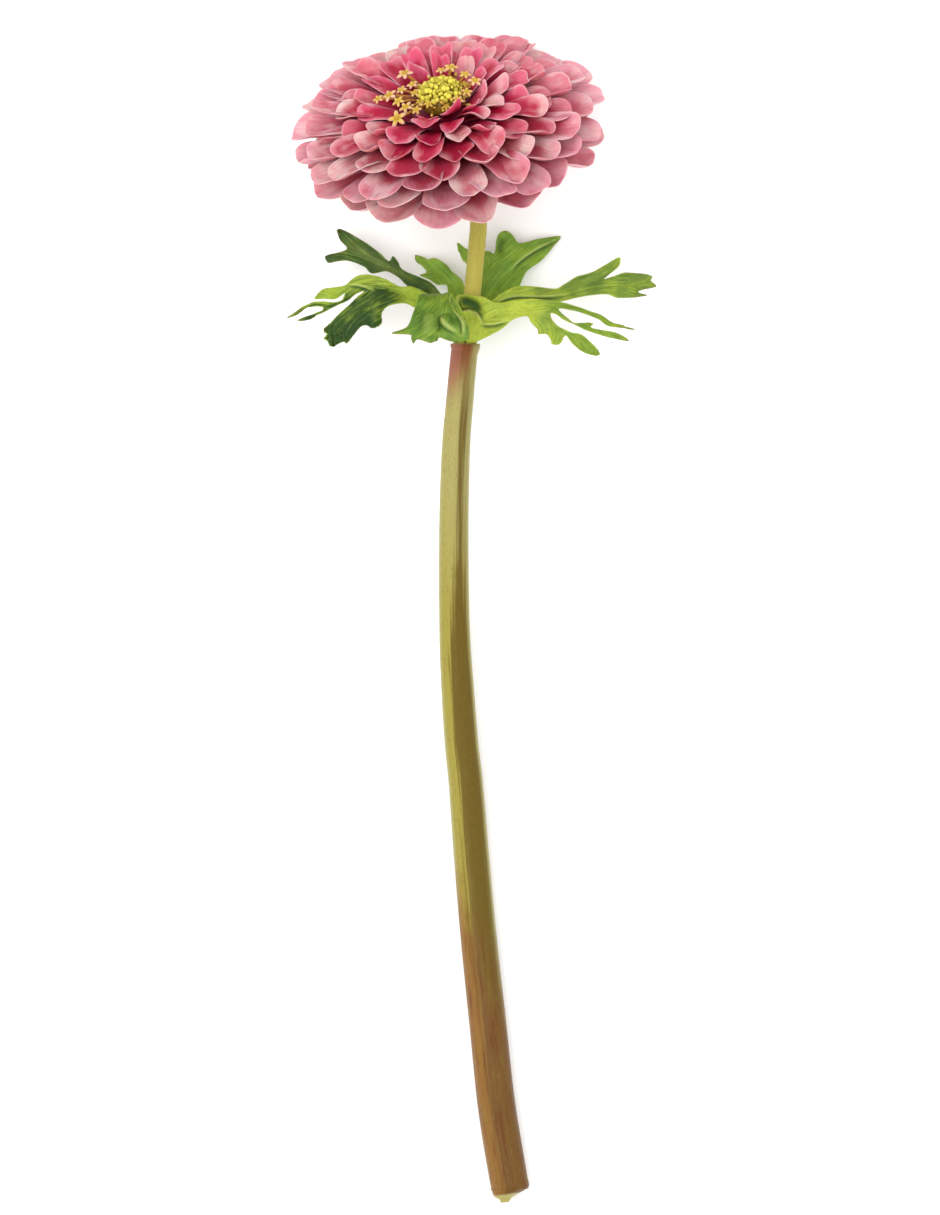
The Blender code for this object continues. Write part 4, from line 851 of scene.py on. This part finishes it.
LEAVES = {
    "leaf_upper_left": Leaf(
        rib=[(-4.6, 86, -2.2, -51), (-6, 91, -2.3, -48), (-8.8, 96.8, -2.3, -30),
             (-13.5, 102.6, -2.8, 0), (-21, 106.3, -4.3, 5), (-30, 111.3, -6.8, 5),
             (-40.3, 119.8, -10.3, 0)],
        outline=[
            (-5.5, 86), (-7.6, 92), (-10.6, 97.6), (-15.5, 101.6), (-19.5, 102.9), (-22.5, 105.6),
            (-26, 107.4), (-30.4, 106.8), (-32.6, 108.8), (-37.4, 110.6), (-41.3, 110.5),
            (-43.8, 110.1), (-44.8, 111.8), (-43.4, 112.7), (-38.1, 114.2), (-40.2, 117.1),
            (-40.7, 120.6), (-35.8, 118.3), (-31.9, 115.9), (-28, 113), (-25.2, 110.5),
            (-23.9, 112), (-22.5, 110.4), (-21, 107.9), (-15.5, 105.4), (-11.5, 103.2), (-7.2, 97),
            (-5, 91.5), (-3.7, 86)]),
    "leaf_lower_left": Leaf(
        rib=[(-5.3, 86, 0.7, 77), (-7, 90, 1.3, 65), (-10.5, 95, 2.7, 25),
             (-17, 99.3, 4.3, 0), (-26, 101.8, 5.7, -5), (-33.5, 101.8, 5, -8),
             (-38.3, 99.3, 4.1, -7), (-43, 97.3, 2.4, -6), (-48, 97.3, 0, -5),
             (-55.6, 93.7, -3.8, 0)],
        outline=[
            (-4.4, 85.8), (-6.2, 86), (-8.2, 90.2), (-12.6, 94.6), (-17.1, 96.1), (-20.3, 97.4),
            (-24.2, 97), (-26.4, 95.8), (-27.3, 94), (-27.4, 91.6), (-28.4, 90.2), (-30, 89.7),
            (-31.2, 90.7), (-32.4, 90.8), (-33.8, 90), (-35.2, 88), (-37, 85.4), (-38, 85.9),
            (-40.2, 84.8), (-41.6, 84.2), (-42.8, 86), (-44.2, 86.5), (-43.6, 88), (-44.8, 89.2),
            (-42.6, 91.4), (-38.6, 95.8), (-34, 100), (-32.8, 101.2), (-35, 100.4), (-38, 98.2),
            (-41, 96.8), (-46, 94.3), (-49.6, 92.5), (-53, 92.4), (-50.8, 93.5), (-46.4, 94.9),
            (-45.3, 96.1), (-47, 96.6), (-50.4, 96.1), (-53, 94.2), (-56.6, 93), (-53, 95.6),
            (-50.2, 97.2), (-48.2, 98), (-45, 98), (-41.3, 97.9), (-39.4, 98.7), (-38.6, 100.4),
            (-40.2, 99.4), (-41.8, 98.7), (-45, 98.8), (-48, 98.8), (-47.4, 99.9), (-46, 101.2),
            (-44, 102.1), (-41, 102.4), (-38.6, 103), (-36.8, 104.5), (-34.5, 105.8), (-32, 106.2),
            (-29, 105.8), (-26, 104.6), (-21.6, 102.6), (-17.9, 102.4), (-11, 99), (-8, 95.4),
            (-5.6, 90.6)]),
    "leaf_front": Leaf(
        rib=[(-3.4, 86, 3.1, 26), (-4.1, 92, 5.7, 12), (-6, 97, 8.3, 4),
             (-7.5, 99.6, 11.7, 0), (-8.5, 98.4, 15.3, 0), (-9.4, 94.5, 17.9, 0),
             (-10.3, 89.8, 19.7, 0), (-10.8, 85.6, 20.7, 0)],
        outline=[
            (-0.9, 0), (-1.9, 6), (-4.6, 12), (-7.2, 16.4), (-8, 21), (-8.1, 24.4), (-8.4, 27.2),
            (-8.8, 29.6), (-9.6, 31.1), (-11.2, 32.1), (-13.6, 33.3), (-8.1, 33.5), (-7.7, 34.6),
            (-6.8, 36.3), (-5.7, 35), (-3.2, 35.6), (-1.6, 36.1), (0, 35.4), (0.9, 34.2),
            (3.1, 34.9), (5.6, 35.5), (9.6, 35), (9.8, 32.5), (8.8, 30.2), (7.2, 28.3),
            (4.6, 26.1), (2.8, 23.6), (1.8, 19.5), (1.6, 15.5), (2.2, 11), (1.8, 6), (0.9, 0)],
        fold=0.05, droop=0.5, unrolled=True),
    "leaf_right_front": Leaf(
        rib=[(-0.4, 86, 3.2, -26), (2, 90.4, 3.9, 0), (7.5, 94.2, 5.3, 0),
             (16, 96.2, 7.1, 0), (27, 96.7, 7.7, 0), (36, 94.5, 5.4, 0),
             (42.5, 91.3, 3, 0), (49.2, 89.9, 0.5, 0)],
        outline=[
            (0.9, 85.7), (3, 86.3), (8, 88.9), (10.2, 90.4), (12, 92), (14, 93), (17, 93.5),
            (18.2, 91.6), (20.1, 89.4), (20.4, 88), (22.8, 88), (24.2, 86.2), (24.7, 84.9),
            (26.8, 84.9), (28.3, 87.5), (29.4, 87), (31.2, 84.6), (34.8, 82.2), (38.6, 81.7),
            (38, 83.9), (34.6, 87.2), (32.4, 88.3), (30.6, 88.5), (27, 90.1), (25.6, 91.2),
            (24.4, 92.8), (24.2, 94.4), (26, 93.9), (28, 92.4), (31.2, 91), (35, 89.2), (41, 87.3),
            (47.8, 86), (44.6, 88.4), (36.6, 90), (37.2, 91.1), (35.6, 91.6), (32, 91.4),
            (30.2, 92.1), (26.6, 95.6), (30.5, 95.3), (33, 94.7), (36, 93.7), (39, 92.4),
            (42, 90.5), (49.7, 89.7), (44.8, 91), (42.5, 92), (39.5, 93.9), (36, 95.1),
            (32.5, 96.3), (27, 97.8), (17, 98.8), (8, 97.6), (3.2, 99.4), (-4.3, 99.8), (-4.8, 97),
            (-4, 94.2), (-2.5, 90.2), (-1.5, 86.2)],
        fold=0.05),
    "leaf_right": Leaf(
        rib=[(1.5, 86, 0.8, -77), (3.6, 91.5, 1.1, -62), (8.5, 97, 1.9, -15),
             (18, 100, 2.1, 0), (31, 101.4, 0.7, 0), (44, 103.4, -2.8, 0),
             (55.6, 103, -7.3, 0)],
        outline=[
            (2.4, 85.8), (5.4, 90.6), (10.6, 95.4), (16.3, 97.4), (25.6, 97.8), (30.3, 98.8),
            (35.8, 99.9), (41.2, 100.3), (45.1, 99.2), (53.6, 100), (50.8, 101.2), (56.4, 102.9),
            (54.9, 104.6), (54.8, 106.2), (47.4, 107), (43.5, 105.9), (40.6, 105), (42, 106.2),
            (44.7, 108.9), (44.8, 111.6), (40.4, 109.1), (36.5, 107), (31.9, 105.6), (28.4, 103.4),
            (25.6, 102), (19.4, 102.6), (13.2, 102.5), (6.6, 98.8), (2.6, 93.4), (0.6, 86.2)]),
    "leaf_back": Leaf(
        rib=[(0.8, 86, -2.1, 52), (2.2, 92.5, -4.1, 35), (5.5, 100, -7.7, 10),
             (11.5, 107.5, -11.4, 0), (18.5, 113, -14, 0), (26.8, 117.9, -16.2, 0)],
        outline=[
            (1.7, 85.8), (5.4, 91.5), (10.6, 97.4), (14.4, 102.4), (15.6, 105.4), (17.1, 107.7),
            (21.7, 111.2), (24.9, 115.1), (27.2, 118.2), (21, 117.6), (17.1, 116.6), (14.4, 116.3),
            (12.4, 118.8), (10.1, 119.9), (7.8, 118.2), (7.2, 113.2), (4.6, 113.6), (-0.8, 114),
            (-4.3, 116.3), (-3.3, 112.6), (-0.8, 108.6), (0.8, 103.4), (0.4, 97), (-0.2, 91),
            (-0.1, 86)]),
    "leaf_back_left": Leaf(
        rib=[(-1.9, 86, -3.5, 0), (-2.8, 93.5, -4.7, -5), (-5, 101, -6.9, -8),
             (-9.6, 107, -10.7, 0), (-16.6, 112, -14.7, 0)],
        outline=[
            (-2.8, 86), (-4.6, 92), (-6.8, 98.5), (-7.6, 103.2), (-10.5, 103.4), (-12.9, 105),
            (-15.7, 106.2), (-13.9, 107.3), (-15, 109.2), (-17, 110.6), (-17.3, 112.5),
            (-14.7, 112), (-13.3, 111.2), (-10.9, 111.4), (-7.8, 109.7), (-5.9, 107.3),
            (-2.6, 104.2), (-1.9, 98), (-1.2, 92), (-1, 85.8)]),
}
LEAF_THICKNESS = 0.7
LEAF_STEP, EDGE_STEP = 0.42, 0.42
# how far in from its edge a blade waves, thins and is pale
WAVES_IN, THIN_IN, PALE_IN = 3, 1, 0.8
FOLD_ROUND, FOLD_WIDTH = 0.6, 4
STREAK_SHIFT = 20
WAVE_HEIGHT, WAVE_LENGTH = 0.45, 7
VEIN_WIDTH, RIB_WIDTH, VEIN_DEPTH, RIB_DEPTH = 0.33, 0.55, 0.1, 0.15
TIP_ANGLE, SHORTEST_VEIN = 105, 2
# colours of the blades, dark to light, how far their light base reaches, and the side
# of the rib that is lighter, seen along it: 1 right, -1 left
LEAF_SHADES = {
    "leaf_upper_left": ("#34501C", "#4E6C28", "#96B244", 0.25, 0),
    "leaf_lower_left": ("#244010", "#3A5C1A", "#B2CC42", 0.42, 1),
    "leaf_front": ("#436E22", "#749C36", "#BCD848", 0.3, 0),
    "leaf_right_front": ("#62882A", "#8CAC38", "#CADC4A", 0.5, 0),
    "leaf_right": ("#5E7E2C", "#88A43A", "#C2DA44", 0.45, 0),
    "leaf_back": ("#64902E", "#8EB840", "#BEDC4C", 0.35, 0),
    "leaf_back_left": ("#669430", "#9AC646", "#C4E050", 0.35, 0),
}
# folds: a path over the blade's flat outline, how high the fold stands towards the
# viewer, and how far it reaches right and left of the path; a crest gets a painted highlight, and
# hollows and steep sides get painted shade
FOLDS = {
    "leaf_front": [
        ([(0.6, 27.4), (1.6, 29.4), (3.6, 31.3), (7, 32.8)], 1.5, 2.6, 0.5),
        ([(-2.6, 26.5), (-2.9, 29.5), (-2.6, 34)], 0.9, 1.5, 1.5),
        ([(0.4, 26.5), (0.4, 30), (0.8, 33.4)], -0.9, 1, 1.2),
        ([(-5.2, 24), (-5, 29), (-5.4, 34)], -0.5, 1.2, 1.2),
        ([(8.4, 34), (8, 30.8), (6.4, 28), (3.6, 25)], 0.8, 0.5, 1.6),
    ],
    "leaf_right_front": [
        ([(-4.2, 101.4), (-4.1, 99), (-4.2, 96.8), (-3.3, 95.1), (-0.5, 95.2),
          (1.8, 94.2), (2.9, 92.2), (3.2, 90)], 1.4, 1.6, 0.5),
        ([(-5.4, 98.6), (-1.6, 97.8), (1, 96.4), (2.4, 93)], -1.3, 1.8, 1.8),
        ([(12, 92.6), (8, 91.4), (5, 91.1), (2.4, 91.4)], 0.9, 2.2, 0.4),
    ],
    "leaf_lower_left": [
        ([(-38, 103.2), (-34, 102.9), (-29, 101.2)], 0.6, 0.5, 1.2),
        ([(-31, 99.5), (-35, 95.5), (-39.5, 89)], -0.5, 1.4, 1.4),
    ],
    "leaf_upper_left": [
        ([(-17, 104.6), (-25, 108.4), (-33, 113.4), (-39, 118.5)], 0.3, 0.8, 1.4),
    ],
    "leaf_back": [
        ([(27, 118), (20, 114.5), (14.6, 110.8), (11.5, 107.4)], 0.8, 1.8, 0.5),
        ([(8.6, 112), (8.8, 115.5), (10, 118.6)], -0.7, 1, 1.2),
    ],
    "leaf_right": [
        ([(5, 96.4), (12, 99.6), (22, 99.6), (30, 100.4)], 0.7, 0.5, 1.8),
        ([(34, 102.8), (40, 104.6), (44, 108.6)], -0.5, 0.9, 0.9),
    ],
}
# width of the painted highlight on a sharp crest and of the painted shade beside its steep side,
# the reach under which a side is steep, and the strengths of softer painted highlight and shade
LIT_WIDTH, SHADE_WIDTH, STEEP = 0.27, 1.3, 0.6
SOFT_LIGHT, SOFT_SHADE = 0.2, 0.75
BASE_REACH = 0.85


def rib_frames(leaf):
    """Flat places, places in space, and sideways and upward directions along the rib."""
    path = smooth_path([(x, y, COLLAR_HEIGHT + h, roll) for x, y, h, roll in leaf.rib], 10)
    places = path[:, :3]
    along = unit(np.gradient(places, axis=0))
    steps = np.linalg.norm(np.diff(places, axis=0), axis=1)
    run = np.concatenate(([0], np.cumsum(steps)))
    if leaf.unrolled:
        side = np.tile((1, 0, 0), (len(path), 1))
        flat = np.column_stack((np.zeros(len(path)), run))
    else:
        side = unit(np.column_stack((along[:, 1], -along[:, 0], np.zeros(len(path)))))
        flat = places[:, :2]
    roll = np.radians(path[:, 3])[:, None]
    up = unit(np.cross(side, along))
    side = unit(side * np.cos(roll) + up * np.sin(roll))
    return flat, places, side, unit(np.cross(side, along)), run


def nearest(points, path):
    """For each point: its distance to a path, the nearest span and its share of the span."""
    start, span = path[:-1], np.diff(path, axis=0)
    length = np.maximum((span ** 2).sum(axis=1), 1e-9)
    away = points[:, None] - start[None]
    share = np.clip((away * span).sum(axis=2) / length, 0, 1)
    off = np.linalg.norm(away - share[..., None] * span, axis=2)
    index = off.argmin(axis=1)
    rows = np.arange(len(points))
    return off[rows, index], index, share[rows, index]


def inside(points, outline):
    """Whether each point lies inside a closed outline."""
    a, b = outline, np.roll(outline, -1, axis=0)
    x, y = points[:, :1], points[:, 1:]
    crosses = (a[:, 1] > y) != (b[:, 1] > y)
    rise = np.where(b[:, 1] == a[:, 1], 1, b[:, 1] - a[:, 1])
    at = a[:, 0] + (y - a[:, 1]) * (b[:, 0] - a[:, 0]) / rise
    return (crosses & (at > x)).sum(axis=1) % 2 == 1


def smooth_outline(corners):
    """The blade's edge as a smooth closed curve, with points a small step apart."""
    count = len(corners)
    edge = []
    for i in range(count):
        before, start, end, after = (corners[(i + k) % count] for k in (-1, 0, 1, 2))
        if i == count - 1:
            edge.append(start)
            continue
        if i == 0:
            before = 2 * start - end
        if i == count - 2:
            after = 2 * end - start
        steps = max(1, round(np.linalg.norm(end - start) / EDGE_STEP))
        edge += [curve_point(before, start, end, after, step / steps)
                 for step in range(steps)]
    return np.array(edge)


def vein_paths(corners, flat):
    """Side veins: each leaves the rib below a tip of the outline and bends out to it."""
    area = sum(p[0] * q[1] - p[1] * q[0]
               for p, q in zip(corners, np.roll(corners, -1, axis=0)))
    t = np.linspace(0, 1, 9)[:, None]
    paths = []
    for before, tip, after in zip(corners, corners[1:], corners[2:]):
        back, ahead = before - tip, after - tip
        turn = back[0] * ahead[1] - back[1] * ahead[0]
        angle = math.degrees(math.acos(np.clip(unit(back) @ unit(ahead), -1, 1)))
        off = np.linalg.norm(flat - tip, axis=1)
        near = int(off.argmin())
        if angle > TIP_ANGLE or turn * area > 0 or off[near] < SHORTEST_VEIN:
            continue
        from_rib = max(2, near - int(off[near] * 1.1 / np.linalg.norm(flat[1] - flat[0])))
        root, bend = flat[from_rib], flat[near] * 0.6 + tip * 0.4
        paths.append(root * (1 - t) ** 2 + bend * 2 * t * (1 - t) + tip * t ** 2)
    return paths


def to_right(points, path, index):
    """Positive for points on the right of their span of a path, negative on its left."""
    away, span = points - path[index], path[index + 1] - path[index]
    return away[:, 0] * span[:, 1] - away[:, 1] * span[:, 0]


def blade_folds(points, folds):
    """Heights of a blade's folds, with shares of painted highlight on crests and of painted shade
    in hollows and beside steep sides.
    """
    raised, lit, hollow_shade = np.zeros((3, len(points)))
    for knots, height, right_reach, left_reach in folds:
        path = smooth_path(knots, 6)
        off, index, share = nearest(points, path)
        reach = np.where(to_right(points, path, index) > 0, right_reach, left_reach)
        way = (index + share) / (len(path) - 1)
        strength = np.clip(5 * way * (1 - way), 0, 1)
        bulge = strength * np.exp(-(off / reach) ** 2)
        raised += height * bulge
        if height < 0:
            hollow_shade = np.maximum(hollow_shade, -SOFT_SHADE * height * bulge)
        elif min(left_reach, right_reach) > STEEP:
            lit = np.maximum(lit, SOFT_LIGHT * bulge)
        else:
            lit = np.maximum(lit, strength * np.exp(-(off / LIT_WIDTH) ** 2))
            shade = strength * np.exp(-(off / SHADE_WIDTH) ** 2) * (reach < STEEP)
            hollow_shade = np.maximum(hollow_shade, shade * (1 - np.exp(-(off / LIT_WIDTH) ** 2)))
    return raised, lit, hollow_shade


def beside(points, paths):
    """For each point: its distance to the nearest path, signed, and its run along it."""
    best = np.full(len(points), np.inf)
    aside, length = np.zeros((2, len(points)))
    for number, path in enumerate(paths):
        off, index, share = nearest(points, path)
        steps = np.linalg.norm(np.diff(path, axis=0), axis=1)
        run = np.concatenate(([0], np.cumsum(steps)))[index] + steps[index] * share
        signed = off * np.sign(to_right(points, path, index))
        nearer = off < best
        best = np.where(nearer, off, best)
        aside = np.where(nearer, signed + STREAK_SHIFT * number, aside)
        length = np.where(nearer, run, length)
    return aside, length


def flat_blade(edge):
    """Points and triangles that fill an outline, and how far each lies from the edge."""
    low, high = edge.min(axis=0), edge.max(axis=0)
    row_height = LEAF_STEP * math.sin(math.radians(60))
    spots = np.array([
        (low[0] + LEAF_STEP * (column + 0.5 * (row % 2)), low[1] + row_height * row)
        for row in range(int((high[1] - low[1]) / row_height) + 1)
        for column in range(int((high[0] - low[0]) / LEAF_STEP) + 1)])
    spots = spots[inside(spots, edge)]
    loop = np.vstack((edge, edge[:1]))
    spots = spots[nearest(spots, loop)[0] > LEAF_STEP * 0.55]
    flats = [Vector(p) for p in np.vstack((edge, spots))]
    made, _, faces, _, _, _ = delaunay_2d_cdt(flats, [], [list(range(len(edge)))], 1, 1e-4)
    points = np.array([tuple(p) for p in made])
    return points, np.array([tuple(f) for f in faces]), nearest(points, loop)[0]


def leaf_blade(name, shape):
    """A leaf's blade: its flat outline, laid along the rib, folded, waved and veined."""
    *frames, run = rib_frames(shape)
    flat, places = frames[:2]
    corners = np.array(shape.outline)
    at_foot = (corners[:, 1] < flat[0, 1] + 0.3) & (np.abs(corners[:, 0] - flat[0, 0]) < 3)
    corners[at_foot, 1] = flat[0, 1] - BASE_REACH
    points, faces, to_edge = flat_blade(smooth_outline(corners))
    off, index, share = nearest(points, flat)
    share, after = share[:, None], index + 1
    foot, middle, sides, ups, run_here = (
        values[index] * (1 - share) + values[after] * share
        for values in (*frames, run[:, None] / run[-1]))
    sides, ups, run_here = unit(sides), unit(ups), run_here[:, 0]
    away, ahead = points - foot, unit(flat[after] - flat[index])
    right = away[:, 0] * ahead[:, 1] - away[:, 1] * ahead[:, 0]
    ahead = (away * ahead).sum(axis=1)
    along = unit(places[after] - places[index])
    near_edge = np.clip(1 - to_edge / WAVES_IN, 0, 1)
    fold = np.sqrt(np.minimum(off, FOLD_WIDTH) ** 2 + FOLD_ROUND ** 2) - FOLD_ROUND
    raised = shape.fold * fold - shape.droop * (right / 10) ** 2
    phase = run_here * run[-1] / WAVE_LENGTH * math.tau + np.sign(right) * 1.3
    raised = raised + WAVE_HEIGHT * np.sin(phase) * near_edge * smoothstep(0.15, 0.4, run_here)
    vein = np.zeros(len(points))
    veins = vein_paths(corners, flat)
    for path in veins:
        vein = np.maximum(vein, np.exp(-(nearest(points, path)[0] / VEIN_WIDTH) ** 2))
    aside, length = beside(points, [flat, *veins])
    folds, lit, hollow_shade = blade_folds(points, FOLDS.get(name, []))
    raised = raised + (-folds if shape.unrolled else folds)
    rib = np.exp(-(off / RIB_WIDTH) ** 2) * (1 - 0.6 * run_here)
    raised = raised - VEIN_DEPTH * vein - RIB_DEPTH * rib
    points = (middle + sides * right[:, None] + along * ahead[:, None]
              + ups * raised[:, None])
    a, b, c = (points[faces[:, k]] for k in range(3))
    if (np.cross(b - a, c - a) * ups[faces[:, 0]]).sum() < 0:
        faces = faces[:, ::-1]
    thin = LEAF_THICKNESS * (1 - 0.6 * np.clip(1 - to_edge / THIN_IN, 0, 1))
    dark, middle, light, light_reach, sunny_side = LEAF_SHADES[name]
    sunny = smoothstep(-1, 2, right * sunny_side) * abs(sunny_side)
    edge = np.clip(1 - to_edge / PALE_IN, 0, 1)
    values = {"run": run_here, "edge": edge, "vein": vein, "rib": rib, "sunny": sunny,
              "lit": lit, "hollow_shade": hollow_shade, "aside": aside, "length": length}
    sheet = Sheet(*values)
    sheet.add_blade(points, faces, thin, **values)
    sheet.piece(name, leaf_material(name, dark, middle, light, light_reach))


# Floor, light and camera

PIXELS_HIGH, PIXEL = 1215, 0.305
FRAME_CENTRE = (-0.46, 4.73)
VIEWED_HEIGHT = 20
CAMERA_DISTANCE = 5000
FLOOR_SIZE, FLOOR_DROP = 6000, 0.3
STUDIO_LIGHT = 1.1
LIGHTS_AIM = (0, 60, 15)


def area_light(name, place, power, size):
    light = bpy.data.lights.new(name, "AREA")
    light.shape = "DISK"
    light.size = size * MM
    light.energy = power
    obj = new_object(name, light)
    obj.location = Vector(place) * MM
    towards = Vector(LIGHTS_AIM) - Vector(place)
    obj.rotation_euler = towards.to_track_quat("-Z", "Y").to_euler()


def stage():
    half = FLOOR_SIZE / 2 * MM
    corners = ((-half, -half), (half, -half), (half, half), (-half, half))
    mesh = bpy.data.meshes.new("floor")
    mesh.from_pydata([(*corner, -FLOOR_DROP * MM) for corner in corners], [], [(0, 1, 2, 3)])
    shader = Shader("pale floor", 0.7)
    shader.paint(FLOOR_WHITE)
    mesh.materials.append(shader.finish())
    new_object("floor", mesh)
    area_light("key", (-420, 160, 1180), power=11, size=1200)
    area_light("fill", (800, -200, 900), power=3.5, size=1100)
    world = bpy.data.worlds.new("studio")
    world.use_nodes = True
    background = world.node_tree.nodes["Background"]
    background.inputs["Color"].default_value = (1, 1, 1, 1)
    background.inputs["Strength"].default_value = STUDIO_LIGHT
    bpy.context.scene.world = world


def camera():
    lens = bpy.data.cameras.new("camera")
    lens.sensor_fit = "VERTICAL"
    lens.sensor_height = 36
    lens.lens = lens.sensor_height * CAMERA_DISTANCE / (PIXELS_HIGH * PIXEL)
    lens.clip_end = 100
    obj = new_object("camera", lens)
    obj.location = Vector((*FRAME_CENTRE, VIEWED_HEIGHT + CAMERA_DISTANCE)) * MM
    bpy.context.scene.camera = obj
    bpy.context.scene.view_settings.view_transform = "Standard"


def main():
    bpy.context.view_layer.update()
    ray_petals()
    disc_florets()
    involucre()
    stem()
    for name, shape in LEAVES.items():
        leaf_blade(name, shape)
    stage()
    camera()


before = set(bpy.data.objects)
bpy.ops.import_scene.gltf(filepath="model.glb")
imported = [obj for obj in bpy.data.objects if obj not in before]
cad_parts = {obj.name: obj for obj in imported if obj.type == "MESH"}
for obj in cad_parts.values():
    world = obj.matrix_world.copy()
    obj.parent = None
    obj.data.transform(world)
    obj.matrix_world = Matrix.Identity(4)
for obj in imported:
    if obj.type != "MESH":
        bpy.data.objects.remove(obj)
main()
